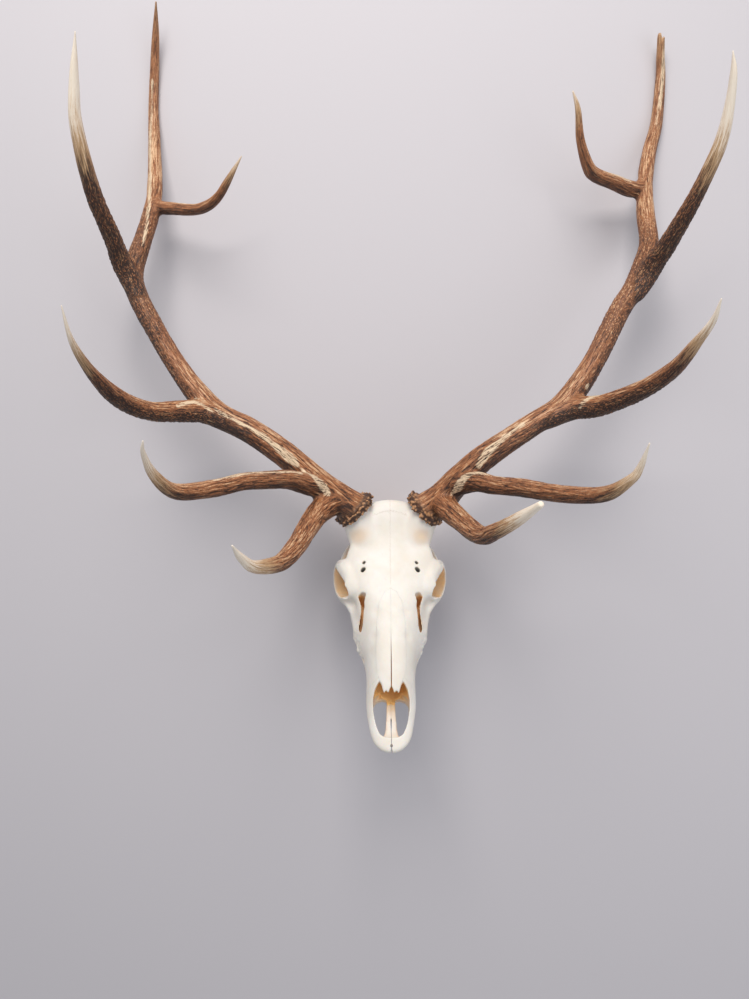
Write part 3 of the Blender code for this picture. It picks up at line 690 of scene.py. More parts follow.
# %% The broken end
# How long it is, and how far the skin is set back, at shares of its radius across. The shares
# waver by a noise with seven cells round the bar, each five centimetres long.
BROKEN_END = 18.0
BREAK = ([-1.1, -0.7, -0.3, 0.0, 0.3, 0.6, 0.9, 1.2], [4, 0, 1.5, 9, 10, 6, 3.5, 6])
RAGGEDNESS = 0.25
SPLINTERS = (7, 0.05)


def splintered(points, near):
    """Break the end of a bar into two uneven splinters with a notch between them."""
    end = near.length - BROKEN_END * MM
    last = np.clip((near.along - end) / (BROKEN_END * MM), 0, 1)
    route = routes["left"]["beam"]
    way = unit(route[-1, :3] - route[-4, :3])
    ragged = noise(wrapped(near, *SPLINTERS), 21) * RAGGEDNESS
    across = (points[:, 0] / MM - route[-1, 0]) / route[-1, 3] + ragged
    back = last ** 1.5 * np.interp(across, *BREAK) * MM * (near.beyond < 0.004)
    return points - way * back[:, None]


# %% Give each antler its relief
# The lumps of the burr and the slow swelling of the bars, in millimetres, and its length in metres.
LUMP_DEPTH = 2.2
SWELLING = 0.45
SWELLING_LENGTH = 0.035


def store(piece, name, values):
    """Keep one number, or one vector, for each point of the mesh."""
    kind, field = ("FLOAT", "value") if np.ndim(values) == 1 else ("FLOAT_VECTOR", "vector")
    values = np.asarray(values, np.float32).ravel()
    piece.data.attributes.new(name, kind, "POINT").data.foreach_set(field, values)


for side, antler in antlers.items():
    points, normals = points_of(antler), points_of(antler, "normal")
    height, depth, tip, nears = antler_relief(points, normals, side)
    beam = nears["beam"]
    collar = burr_weight(points, side)
    lumps = smoothstep(0.7, 0.1, cell_distance(points / PEARL_SIZE, 7))
    drop = (1 - height) * depth * MM * (1 - collar) + collar * (1 - lumps) * LUMP_DEPTH * MM
    thick = smoothstep(0.004, 0.012, beam.radius)
    drop = drop - SWELLING * MM * noise(points / SWELLING_LENGTH, 8) * thick
    store(antler, "height", height * (1 - collar) + lumps * collar)
    store(antler, "collar", collar)
    store(antler, "tip", tip)
    store(antler, "grain", nearest_of(nears, [wrapped(near, *GRAIN) for near in nears.values()]))
    store(antler, "pearled", nearest_of(nears, [pearled_share(name, near, normals @ DOWNWARD)
                                                for name, near in nears.items()]))
    upper_beam = smoothstep(0.6, 0.7, beam.share) * smoothstep(0.02, 0.0, beam.beyond)
    store(antler, "crown", np.maximum(upper_beam, smoothstep(0.01, 0.0, nears["fifth"].beyond)))
    points = points - normals * drop[:, None]
    if side == "left":
        points = splintered(points, beam)
    move_points(antler, points)
    thinned(antler, ANTLER_TRIANGLES)

# %% [markdown]
# ### Rubbed streaks
#
# Where an antler is rubbed against trees, its ridges and the webs of its forks lose their
# stain. Those streaks are routes too, placed on the skin with a width.

# %% Mark the rubbed streaks
RUBBED = {
    "left": [
        [(150, 410, 262, 4), (162, 424, 278, 6), (176, 433, 288, 5), (191, 443, 297, 4), (224, 460, 313, 2)],
        [(106, 380, 222, 4), (116, 384, 242, 8), (128, 386, 262, 8), (145, 383, 278, 5), (174, 346, 312, 2),
         (200, 318, 340, 2)],
        [(318, 470, 345, 3), (338, 478, 358, 5), (350, 470, 366, 3), (380, 445, 405, 2)],
        [(332, 520, 352, 3), (338, 500, 352, 4), (338, 478, 358, 5)],
        [(427, 842, 540, 3), (385, 835, 562, 3), (356, 838, 582, 3), (336, 848, 610, 3), (318, 860, 650, 3)],
        [(492, 968, 590, 4), (500, 1003, 618, 4), (504, 1040, 655, 3.5), (501, 1060, 680, 3),
         (498, 1076, 699, 3)],
    ],
    "right": [
        [(-330, 490, 343, 2), (-292, 473, 331, 2), (-243, 454, 314, 2.5), (-212, 442, 299, 3.5),
         (-189, 429, 284, 5), (-170, 419, 270, 6.5), (-160, 413, 262, 3)],
        [(-150, 404, 258, 4), (-135, 396, 256, 6), (-122, 391, 245, 7.5), (-112, 386, 228, 7),
         (-106, 380, 216, 2)],
        [(-300, 470, 330, 2), (-330, 474, 350, 3), (-352, 452, 362, 2)],
        [(-151, 382, 275, 2), (-207, 329, 338, 2), (-262, 265, 392, 2)],
        [(-434, 735, 481, 1), (-430, 790, 507, 2), (-434, 862, 534, 2), (-440, 924, 558, 2),
         (-441, 977, 589, 1), (-438, 1031, 637, 1)],
        [(-391, 812, 516, 1), (-351, 796, 526, 1), (-314, 784, 542, 2), (-283, 783, 580, 2)],
    ],
}


def rubbed_share(points, side):
    share = np.zeros(len(points))
    for streak in RUBBED[side]:
        near = Nearest(points, smooth_route(streak, ROUTE_STEP))
        share = np.maximum(share, smoothstep(0.005, -0.001, near.beyond))
    return share


for side, antler in antlers.items():
    # How much the skin faces down and forward, which the finish uses to paint shade there.
    store(antler, "under", points_of(antler, "normal") @ DOWNWARD)
    store(antler, "rubbed", rubbed_share(points_of(antler), side))
    print("The", side, "antler has", len(RUBBED[side]), "rubbed streaks")

# %% [markdown]
# ## Materials as formulas
#
# A material is arithmetic on a few patterns. Wiring that by hand hides the arithmetic, so one
# small class wraps a socket: adding or multiplying two of them adds the Math node. Colours go
# through Mix nodes, and every node comes from one method.

# %% Colours by name
COLOURS = {
    "groove": (0.032, 0.012, 0.006), "stain": (0.21, 0.074, 0.027), "brown": (0.385, 0.148, 0.055),
    "ridge": (0.71, 0.45, 0.26), "burr groove": (0.05, 0.019, 0.009), "burr": (0.50, 0.255, 0.12),
    "worn": (0.76, 0.58, 0.39), "tip": (0.55, 0.34, 0.175), "ivory": (0.82, 0.59, 0.385),
    "bright ivory": (0.97, 0.85, 0.70),
    # The shade, hollow and deep hollow colours follow how shut in a place is: painted shade, partly the
    # bone's real unbleached tone.
    "cream": (0.78, 0.72, 0.635), "pale cream": (0.84, 0.795, 0.735), "shade": (0.75, 0.60, 0.465),
    "hollow": (0.86, 0.63, 0.37), "deep hollow": (1.0, 0.58, 0.21), "slit": (0.80, 0.49, 0.23),
    "front of slit": (0.36, 0.19, 0.09), "vein": (0.70, 0.55, 0.40), "suture": (0.42, 0.30, 0.20),
    # Painted shade inside the brow holes.
    "brow hole shade": (0.25, 0.225, 0.19),
    "enamel": (0.80, 0.72, 0.58), "stained enamel": (0.66, 0.52, 0.36), "root": (0.55, 0.38, 0.22),
    "valley": (0.10, 0.055, 0.03),
}

# %% A socket that can be calculated with
class Wire:
    """A value or a link in a material, with operators that add Math nodes."""

    def __init__(self, finish, socket):
        self.finish = finish
        self.socket = socket

    def math(self, operation, *others):
        return self.finish.node("ShaderNodeMath", {"operation": operation}, [self, *others])

    def __add__(self, other):
        return self.math("ADD", other)

    def __sub__(self, other):
        return self.math("SUBTRACT", other)

    def __mul__(self, other):
        return self.math("MULTIPLY", other)

    def __rsub__(self, other):
        return self.finish.node("ShaderNodeMath", {"operation": "SUBTRACT"}, [other, self])

    __radd__ = __add__
    __rmul__ = __mul__

    def ramp(self, low, high):
        """0 below low, 1 above high, soft between them."""
        return self.finish.node("ShaderNodeMapRange", {"interpolation_type": "SMOOTHSTEP"},
                                {"Value": self, "From Min": low, "From Max": high})


class Finish:
    """A material that is built from Wires."""

    def __init__(self, name):
        self.material = bpy.data.materials.new(name)
        self.material.use_nodes = True
        self.tree = self.material.node_tree
        self.shader = self.tree.nodes["Principled BSDF"]

    def node(self, kind, settings=None, inputs=None, output=0):
        new = self.tree.nodes.new(kind)
        for setting, value in (settings or {}).items():
            setattr(new, setting, value)
        pairs = enumerate(inputs) if isinstance(inputs, (list, tuple)) else (inputs or {}).items()
        for key, value in pairs:
            if isinstance(value, Wire):
                self.tree.links.new(value.socket, new.inputs[key])
            else:
                new.inputs[key].default_value = value
        return Wire(self, new.outputs[output])

    def attribute(self, name, vector=False):
        return self.node("ShaderNodeAttribute", {"attribute_name": name}, output=1 if vector else 2)

    def axis(self, vector, number):
        return self.node("ShaderNodeSeparateXYZ", inputs=[vector], output=number)

    def noise(self, scale, where=None, detail=4.0, roughness=0.5):
        """Noise from 0 to 1 at a place, or else at the piece's own place."""
        where = where or self.node("ShaderNodeTexCoord", output=3)
        inputs = {"Vector": where, "Scale": scale, "Detail": detail, "Roughness": roughness}
        return self.node("ShaderNodeTexNoise", inputs=inputs)

    def mix(self, share, first, second):
        """A colour between two others, each a Wire or a name."""
        first, second = (colour if isinstance(colour, Wire) else (*COLOURS[colour], 1.0)
                         for colour in (first, second))
        return self.node("ShaderNodeMix", {"data_type": "RGBA"}, {6: first, 7: second, 0: share}, output=2)

    def finished(self, colour, roughness, height, bump, bump_distance, **fixed):
        """Set the shader, with the height as a bump and the rest as fixed values."""
        self.set("Base Color", colour)
        self.set("Roughness", roughness)
        inputs = {"Strength": bump, "Distance": bump_distance, "Height": height}
        self.set("Normal", self.node("ShaderNodeBump", inputs=inputs))
        for name, value in fixed.items():
            self.set(name.replace("_", " "), value)
        print("The finish of", self.material.name, "has", len(self.tree.nodes), "nodes")
        return self.material

    def set(self, name, value):
        if isinstance(value, Wire):
            self.tree.links.new(value.socket, self.shader.inputs[name])
        else:
            self.shader.inputs[name].default_value = value


# %% [markdown]
# ### The antler's finish
#
# Antler is bone that dried with blood and bark rubbed into it. The grooves hold the stain and
# go dark, the ridges are rubbed pale, and the tips are polished to ivory. So the colour follows
# the height that the mesh already has, with streaks along the grain for what is smaller than a
# face. Ivory and rubbed streaks end in fingers, because the grain decides where they stop. Skin
# that faces down and forward is also darkened in the colour, as painted shade.

# %% Antler finish
def antler_finish():
    finish = Finish("antler")
    grain = finish.attribute("grain", vector=True)
    height, tip, collar, under = map(finish.attribute, ("height", "tip", "collar", "under"))
    rubbed, pearled, crown = map(finish.attribute, ("rubbed", "pearled", "crown"))
    streaks = finish.noise(1.6, grain, detail=5.0, roughness=0.6) - 0.5
    fibres = finish.noise(4.5, grain, detail=3.0, roughness=0.6) - 0.5
    patches = finish.noise(9.0, detail=2.0) - 0.5
    specks = finish.noise(420.0, detail=2.0) - 0.5
    groove = (finish.noise(1.5, grain, detail=2.0) - 0.5).math("ABSOLUTE").ramp(0.0, 0.05)
    # Painted shade: skin that faces down and forward, away from the key light, is darkened.
    shadow = under.ramp(-0.25, 0.8)
    rooted = 1 - finish.axis(grain, 2).ramp(0.8, 3.4)
    short = finish.node("ShaderNodeVectorMath", {"operation": "MULTIPLY"}, [grain, (1.0, 1.0, 4.5)])
    fleck = 1 - finish.node("ShaderNodeTexVoronoi", inputs={"Vector": short, "Scale": 2.0}).ramp(0.2, 0.5)
    grooved = height * 0.5 + groove * 0.44 - 0.1
    pearly = fleck * 0.64 + height * 0.2 + 0.19
    # The level is painted lighter where the skin faces up and darker, as shade, where it faces down.
    level = (grooved + (pearly - grooved) * pearled + streaks * 0.8 + fibres * 0.8 + patches * 0.4
             + specks * 0.2 - under * 0.06 - shadow * (0.4 - pearled * 0.2) - rooted * 0.1
             + crown * 0.11 + 0.02)
    deep = finish.mix(level.ramp(0.08, 0.5), "groove", "stain")
    brown = finish.mix(level.ramp(0.4, 0.74), deep, "brown")
    ridged = finish.mix(level.ramp(0.7, 0.98), brown, "ridge")
    # The burr's lower side is darkened with the same painted shade.
    burr = finish.mix((height + specks * 0.5 - shadow * 0.2).ramp(0.0, 0.85), "burr groove", "burr")
    stained = finish.mix(collar, ridged, burr)
    wear = rubbed * 0.8 + streaks * 1.7 + fibres * 1.9 + groove * 0.35 + height * 0.2 - 0.89
    worn = wear.ramp(0.0, 0.32)
    pale = finish.mix(worn * (1 - collar), stained, "worn")
    edge = tip + streaks * 1.3 + fibres * 0.6 - 0.5
    tan = finish.mix(edge.ramp(-0.45, 0.0), pale, "tip")
    bright = (streaks + fibres * 0.8 + tip * 0.5).ramp(0.0, 0.55)
    ivory = finish.mix(bright, "ivory", "bright ivory")
    colour = finish.mix(edge.ramp(-0.1, 0.3), tan, ivory)
    roughness = 0.56 - tip * 0.12 - height * 0.08
    relief = groove * (1 - tip) * 0.8 + fleck * pearled * 0.8 + fibres * 0.6 + specks * 0.25
    return finish.finished(colour, roughness, relief, bump=0.6, bump_distance=0.001)


ANTLER = antler_finish()
ANTLER_NODES = ("lower_beam", "middle_beam", "upper_beam", "brow_tine", "bez_tine", "trez_tine",
                "royal_tine", "fifth_tine")


def settle(piece, finish, nodes, crisp=60):
    """Lay a finished piece down in the frame, give it its finish, and hide the solids that it stands for."""
    piece.data.transform(AT_REST)
    points = points_of(piece)
    points[:, 2] = np.maximum(points[:, 2], 0.0)
    move_points(piece, points)
    piece.data.materials.clear()
    piece.data.materials.append(finish)
    only(piece)
    bpy.ops.object.shade_smooth_by_angle(angle=math.radians(crisp))
    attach(piece, "root")
    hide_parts(*nodes)


for side, antler in antlers.items():
    settle(antler, ANTLER, [f"{side}_{name}" for name in ANTLER_NODES])

# %% [markdown]
# ## The skull
#
# The case of the skull is one long lofted cage from nose to nape, because its cross section
# changes steadily. What stands out from it, such as the rims of the eye sockets, the cheek
# arches, the pedicles under the antlers and the knobs at the back, are balls and bars. A voxel
# remesh grows all of it together, as bone does, and smoothing takes the joins away.

# %% Sections, knobs and bars of the skull
# Half sections: y, and then x and z of top middle, top edge, upper side, widest place,
# lower side, base edge and base middle.
SKULL_SECTIONS = [
    (4, (0, 26), (6, 26), (10, 24), (12, 20), (10, 16), (6, 14), (0, 14)),
    (20, (0, 31), (14, 31), (28, 28), (33, 22), (30, 14), (17, 11), (0, 12)),
    (47, (0, 44), (20, 43), (34, 35), (38, 25), (35, 15), (20, 10), (0, 12)),
    (75, (0, 66), (19, 63), (36, 47), (44, 30), (41, 17), (24, 9), (0, 12)),
    (105, (0, 88), (20, 85), (35, 64), (43, 40), (39, 20), (26, 9), (0, 14)),
    (140, (0, 100), (22, 96), (37, 73), (43, 46), (39, 22), (32, 9), (0, 16)),
    (172, (0, 108), (24, 104), (41, 82), (49, 56), (54, 34), (44, 11), (0, 18)),
    (208, (0, 117), (27, 113), (47, 92), (65, 66), (71, 42), (51, 13), (0, 18)),
    (243, (0, 126), (35, 122), (56, 102), (67, 74), (67, 48), (50, 14), (0, 18)),
    (275, (0, 133), (48, 130), (76, 115), (82, 86), (62, 54), (42, 18), (0, 22)),
    (302, (0, 139), (58, 136), (88, 120), (72, 92), (42, 54), (26, 26), (0, 28)),
    (327, (0, 146), (62, 142), (84, 128), (62, 98), (38, 62), (22, 30), (0, 30)),
    (352, (0, 157), (56, 154), (70, 138), (52, 100), (38, 62), (20, 32), (0, 32)),
    (378, (0, 176), (46, 174), (54, 148), (50, 102), (44, 62), (22, 34), (0, 32)),
    (400, (0, 188), (40, 186), (47, 152), (52, 100), (47, 58), (24, 34), (0, 32)),
    (417, (0, 166), (32, 158), (44, 130), (50, 92), (40, 56), (20, 38), (0, 34)),
    (430, (0, 128), (24, 122), (34, 104), (38, 80), (28, 60), (16, 48), (0, 46)),
]
# Knobs on the animal's left, as a centre and radii.
SKULL_KNOBS = {
    "orbit_wall": ((63, 285, 92), (34, 35, 32)),
    "cheek_knob": ((45, 190, 38), (13, 20, 12)),
    "ear_tube": ((50, 392, 62), (19, 12, 17)),
    "ear_bulla": ((30, 384, 26), (12, 19, 15)),
    "neck_condyle": ((22, 432, 44), (15, 13, 20)),
    "throat_plate": ((19, 306, 24), (5, 30, 22)),
}
NAPE_CREST = ((0, 420, 122), (44, 11, 9))
# Swept bones on the animal's left, as x, y, z and radius.
SKULL_BARS = {
    "cheek_arch": [(52, 215, 50, 13), (60, 245, 54, 12), (67, 261, 56, 10), (84, 281, 57, 10.5),
                   (88, 308, 57, 9.5), (87, 340, 57, 8.5), (78, 368, 64, 8.5), (56, 392, 76, 10)],
    "cheek_ridge": [(56, 205, 58, 8), (62, 240, 65, 9), (80, 270, 68, 8), (90, 300, 64, 6)],
    "eye_bar": [(80, 309, 118, 7), (90, 323, 98, 6.5), (91, 322, 78, 7), (90, 314, 62, 7)],
    "pedicle": [(36, 334, 108, 17), (44, 351, 129, 28.5), (54, 370, 148, 28), (65, 389, 172, 26)],
    "jugular_horn": [(40, 412, 46, 11), (43, 419, 24, 8), (43, 421, 4, 6)],
}
print("The skull grows from", len(SKULL_SECTIONS), "sections,", len(SKULL_KNOBS), "pairs of knobs and",
      len(SKULL_BARS), "pairs of bars")

# %% Mirror and loft
def on_side(sign, place):
    return (sign * place[0], *place[1:])


def all_on_side(sign, places):
    return [on_side(sign, place) for place in places]


def mirrored(half):
    """A ring of a half outline and its mirror image. The half ends on the middle plane."""
    return half + all_on_side(-1, reversed(half[1:-1]))


def soft_spot(points, centre, reach):
    """1 at a place, fading to 0 round it."""
    away = np.linalg.norm(points - np.array(centre) * MM, axis=1) / (reach * MM)
    return np.exp(-away ** 2)


def two_spots(points, centre, reach):
    """The same on both sides of the skull."""
    return sum(soft_spot(points, on_side(sign, centre), reach) for sign in SIDES.values())


def lofted(name, sections):
    """A closed skin through rings of equally many points, in millimetres."""
    count = len(sections[0])
    points = [Vector(place) * MM for section in sections for place in section]
    faces = [tuple(range(count)), tuple(range(len(points) - count, len(points)))]
    for start in range(0, len(points) - count, count):
        for i in range(count):
            j = (i + 1) % count
            faces.append((start + i, start + j, start + count + j, start + count + i))
    mesh = bpy.data.meshes.new(name)
    mesh.from_pydata(points, [], faces)
    piece = linked(name, mesh)
    bpy.ops.object.mode_set(mode="EDIT")
    bpy.ops.mesh.select_all(action="SELECT")
    bpy.ops.mesh.normals_make_consistent(inside=False)
    bpy.ops.object.mode_set(mode="OBJECT")
    return piece


# %% Grow the skull
ORBIT_CENTRE = (83, 291, 92)
ORBIT_AXIS = (0.9, -0.3, 0.32)
ORBIT_RADIUS = 30.5
ORBIT_RING = 31.25
ORBIT_RIM = 6.5
ORBIT_DEPTH = 36.0
FORM_VOXEL = 0.0022
FORM_ROUNDS = 16
# Where a pedicle grows out of the brain case, the skin is smoothed longer: a centre and a reach.
TEMPLE = ((38, 358, 160), 34)
TEMPLE_ROUNDS = 50


def orbit_turn(sign):
    return Vector(on_side(sign, ORBIT_AXIS)).to_track_quat("Z", "Y")


def orbit_ring(sign):
    bpy.ops.mesh.primitive_torus_add(
        major_segments=64, minor_segments=20, major_radius=ORBIT_RING * MM,
        minor_radius=ORBIT_RIM * MM, location=Vector(on_side(sign, ORBIT_CENTRE)) * MM,
        rotation=orbit_turn(sign).to_euler())
    bpy.ops.object.transform_apply()
    return named("orbit_ring")


def skull_cage():
    sections = [mirrored([(x, y, z) for x, z in half]) for y, *half in SKULL_SECTIONS]
    return modified(lofted("skull", sections), "SUBSURF", levels=3, render_levels=3)


forms = [skull_cage(), ball("nape_crest", *NAPE_CREST)]
for sign in SIDES.values():
    forms += [ball(name, on_side(sign, centre), radii) for name, (centre, radii) in SKULL_KNOBS.items()]
    forms += [bar(name, smooth_route(all_on_side(sign, route), ROUTE_STEP))
              for name, route in SKULL_BARS.items()]
    forms.append(orbit_ring(sign))
skull = smoothed(remeshed(joined("skull", forms), FORM_VOXEL), FORM_ROUNDS)
smoothed(skull, TEMPLE_ROUNDS, two_spots(points_of(skull), *TEMPLE) * 1.3)
print("The grown skull has", len(skull.data.polygons), "faces")

# %% [markdown]
# ### Openings
#
# The airway is hollow from the nose to between the eyes, the palate has two long slots behind
# the front of the muzzle, and a slit opens in front of each eye. Each is cut with a closed body
# of its shape, as one would drill it.

# %% Shapes of the openings
# Outlines on the animal's left, seen from above as x and y.
NOSE_OPENING = [(0, 27), (10, 27), (18, 31), (23, 39), (27, 52), (29.5, 66), (30, 82), (27, 94), (19.5, 104),
                (16, 98), (13.4, 89), (11.8, 86), (10.2, 88), (8.9, 95), (7.6, 89), (5.6, 86), (3.6, 87.5),
                (1.8, 93), (0, 94)]
PALATE_SLOT = [(6.8, 95), (7.2, 78), (8.4, 58), (9.6, 44), (12, 34), (14.5, 30.5), (18, 33), (22.5, 41),
               (26.5, 52), (29, 66), (29.6, 84), (25, 93), (15, 97)]
TEAR_SLIT = [(42, 248), (49, 252), (56, 249), (53.2, 242), (50.4, 234), (49.8, 226), (50.6, 218),
             (52.6, 211), (53.6, 203), (52.6, 195), (50.6, 195), (48.8, 203), (47.4, 211), (46.5, 218),
             (46.2, 226), (45.8, 236)]
# The airway as y, half width, floor and roof.
NOSE_HOLLOW = [(60, 24.5, 27, 48), (90, 26.5, 24, 71), (125, 27.5, 22, 87), (165, 28, 24, 97),
               (205, 25, 30, 105), (238, 16, 44, 109)]
NOSE_FLOOR = 21.4
TOP_OF_ALL = 260
TEAR_SLIT_FLOOR = 66
BURR_SEAT_RADIUS = 42.7
BURR_SEAT = (-3.3, 34)
PALATE_SLOT_HEIGHTS = (-10, 40)
# Small holes for nerves and vessels on the animal's left, as a centre and radii.
SMALL_HOLES = {
    "cheek_hole": ((47, 158, 44), (9, 5.5, 3.6)),
    "tear_hole": ((70, 262, 92), (7, 3, 3.4)),
}
# Slanting ovals on the forehead, as a middle, two half lengths, a turn in degrees and a depth.
BROW_HOLES = [((47, 288), (4.8, 2.9), -50, 112), ((45.5, 300), (3.0, 2.0), -40, 126)]
EYE_NOTCH = ((85.5, 261, 98), (14, 14, 16))
NAPE_HOLE = ((0, 446, 58), (15, 60, 14))
THROAT_HOLLOW = ((0, 318, 20), (14, 34, 22))

# %% Bodies to cut with
def ring_turns(count):
    """An even number of angles, spread evenly round a circle."""
    return np.arange(count) * math.pi / (count // 2)


def prism(name, outline, low, high):
    return lofted(name, [[(x, y, z) for x, y in outline] for z in (low, high)])


def oval(middle, lengths, degrees):
    turn = math.radians(degrees)
    outline = []
    for angle in ring_turns(16):
        along, across = lengths[0] * math.cos(angle), lengths[1] * math.sin(angle)
        outline.append((middle[0] + along * math.cos(turn) - across * math.sin(turn),
                        middle[1] + along * math.sin(turn) + across * math.cos(turn)))
    return outline


def airway():
    sections = []
    for y, half, low, high in NOSE_HOLLOW:
        middle, rise = (low + high) / 2, (high - low) / 2
        sections.append([(half * math.sin(turn), y, middle + rise * math.cos(turn))
                         for turn in ring_turns(24)])
    return lofted("airway", sections)


def orbit_cup(sign):
    cup = ball("orbit_cup", (0, 0, 0), (ORBIT_RADIUS, ORBIT_RADIUS, ORBIT_DEPTH), 48)
    place = Matrix.Translation(Vector(on_side(sign, ORBIT_CENTRE)) * MM)
    cup.data.transform(place @ orbit_turn(sign).to_matrix().to_4x4())
    return cup


# %% Cut the openings
def cut(piece, cutter, operation="DIFFERENCE"):
    """Cut one closed mesh by another. Both are dense, so the fast solver does it."""
    return modified(piece, "BOOLEAN", operation=operation, solver="MANIFOLD", object=cutter)


def remove(*pieces):
    for piece in pieces:
        bpy.data.objects.remove(piece, do_unlink=True)


cutters = [airway(), ball("nape_hole", *NAPE_HOLE), ball("throat_hollow", *THROAT_HOLLOW)]
cutters.append(prism("nose_opening", mirrored(NOSE_OPENING), NOSE_FLOOR, TOP_OF_ALL))
for side, sign in SIDES.items():
    cutters += [orbit_cup(sign), ball("eye_notch", on_side(sign, EYE_NOTCH[0]), EYE_NOTCH[1])]
    cutters.append(prism("palate_slot", all_on_side(sign, PALATE_SLOT), *PALATE_SLOT_HEIGHTS))
    cutters.append(prism("tear_slit", all_on_side(sign, TEAR_SLIT), TEAR_SLIT_FLOOR, TOP_OF_ALL))
    cutters += [ball(name, on_side(sign, centre), radii) for name, (centre, radii) in SMALL_HOLES.items()]
    cutters += [prism("brow_hole", all_on_side(sign, oval(*shape)), floor, TOP_OF_ALL)
                for *shape, floor in BROW_HOLES]
    seat, axis = burr_place(side)
    cutters.append(bar("burr_seat", [(*(seat + axis * height), BURR_SEAT_RADIUS) for height in BURR_SEAT]))
for cutter in cutters:
    cut(skull, cutter)
print(len(cutters), "cuts open the skull")
remove(*cutters)

# %% Let the forehead reach out over the eyes
# Bars on the animal's left, as centres and radii.
EYE_ROOFS = [
    [(91, 314, 106, 6), (88, 304, 109, 6.5), (83, 294, 111, 6.5), (77.5, 283, 112, 6.5), (71, 271, 111, 6),
     (65, 262, 106, 5)],
    [(85, 314, 110, 8), (80, 306, 112, 8), (75, 296, 113, 8), (69, 284, 113, 8), (63, 273, 110, 7)],
    [(86, 309, 113, 7), (81, 299, 116, 7.5), (76, 290, 117.5, 7.5), (71, 281, 117, 7)],
]
ROOF_STEP = 4

roofs = [bar("eye_roof", smooth_route(all_on_side(sign, route), ROOF_STEP))
         for sign in SIDES.values() for route in EYE_ROOFS]
skull = joined("skull", [skull] + roofs)
print("Opened and roofed, the skull has", len(skull.data.polygons), "faces")

# %% [markdown]
# ### Relief of the bone
#
# Cut edges are too crisp for bone, so the whole form is remeshed once more, finely, and
# smoothed a little. Then come the forms that a finger would feel: soft hollows and swellings,
# and a faint unevenness all over. This is done before the bones are parted, so the seams
# between them stay as thin as a hair.

# %% Soft hollows and swellings
SKIN_VOXEL = 0.0014
# Hollows on the animal's left as centre, reach and depth, and swellings with a depth below 0.
# The hollows also get painted shade in the bone's colour, through soft_shade.
HOLLOWS = [
    ((68, 243, 87), 11, 4.0), ((55, 347, 147), 14, 6.0), ((48, 352, 152), 22, 2.5), ((59, 222, 80), 13, 2.0),
    ((58, 262, 108), 7, -1.4),
    ((24, 262, 132), 18, 1.2), ((26, 176, 95), 9, 2.2), ((25, 215, 112), 9, 2.0),
    ((58, 172, 34), 7, -1.6), ((60, 200, 46), 8, -1.6), ((22, 395, 176), 12, 1.2),
    ((36, 418, 96), 14, 3.0), ((45, 232, 100), 7, 1.5), ((53, 205, 82), 7, 1.2),
]
# How deep the waves of the bone's skin are, all over and on the rough knob of the cheek.
SLOW_WAVES, FINE_WAVES, ROUGHNESS = 0.35, 0.14, 3.2
ROUGH_CHEEK = ((55, 186, 40), 18)
# Where the skin is smoothed longer, as a centre and a reach.
EYE_ROOF = ((74, 290, 121), 24)
EYE_ROOF_ROUNDS = 60
MUZZLE_BODY = ((0, 27, 26), 15)
MUZZLE_BODY_ROUNDS = 40


def bone_relief(points):
    """How far each point sinks in, in metres."""
    sink = noise(points / 0.026, 11) * SLOW_WAVES + noise(points / 0.009, 12) * FINE_WAVES
    for sign in SIDES.values():
        for centre, reach, depth in HOLLOWS:
            sink = sink + depth * soft_spot(points, on_side(sign, centre), reach)
        rough = soft_spot(points, on_side(sign, ROUGH_CHEEK[0]), ROUGH_CHEEK[1])
        sink = sink + rough * noise(points / 0.006, 13) * ROUGHNESS
    return sink * MM


def soft_shade(points):
    """1 at the bottom of the soft hollows, where the colour gets painted shade and bleaches a little less."""
    deepest = max(depth for _, _, depth in HOLLOWS)
    shade = np.zeros(len(points))
    for sign in SIDES.values():
        for centre, reach, depth in HOLLOWS:
            shade += max(depth, 0) / deepest * soft_spot(points, on_side(sign, centre), reach)
    return np.minimum(shade, 1)


smoothed(remeshed(skull, SKIN_VOXEL), 3)
smoothed(skull, EYE_ROOF_ROUNDS, two_spots(points_of(skull), *EYE_ROOF) * 1.2)
smoothed(skull, MUZZLE_BODY_ROUNDS, soft_spot(points_of(skull), *MUZZLE_BODY) * 1.3)
form = BVHTree.FromObject(skull, bpy.context.evaluated_depsgraph_get())
points = points_of(skull)
move_points(skull, points - points_of(skull, "normal") * bone_relief(points)[:, None])
print("The skin of the skull has", len(skull.data.polygons), "faces")

# %% [markdown]
# ### The bones that stay separate
#
# In an elk the two nasal bones and the two premaxillae never fuse with the rest, and the teeth
# stand in sockets. So the one form is copied, and each copy keeps only its own space. A gap as
# thin as a hair stays at the seams.

# %% The space of each bone and tooth
BONE_GAP = 0.3
NASAL_GAP = 0.1
NASAL_EDGE = [(18.4, 70), (18.8, 104), (24.5, 118), (25.5, 150), (24, 195), (20, 228), (10, 246), (0.05, 252)]
NASAL_SLIT = [(0.05, 185), (0.3, 160), (0.7, 130), (1, 70)]
NASAL_FLOOR = 53
NASAL_SLOPE = 0.27
MUZZLE_SEAM_Y, MUZZLE_SEAM_Z, MUZZLE_SEAM_SLOPE = 90, 20, 0.3
MUZZLE_HEIGHTS = (-20, 80)
# Half the slit between the muzzle bones, as x and y, and the round notch at its front.
MUZZLE_SLIT = [(3.6, -20), (3.2, 3), (0.8, 10), (0.5, 14), (0.5, 44), (1.1, 52), (1.1, 61), (0.15, 65)]
MUZZLE_NOTCH = ((0, 14), (2.1, 2.6))
WIDE = 90
TOOTH_TOP = 21.0
TOOTH_GAP = 0.6
# How deep a tooth is dented between its lobes, and how round its corners are.
TOOTH_DENT = 0.14
TOOTH_CORNER = 0.7


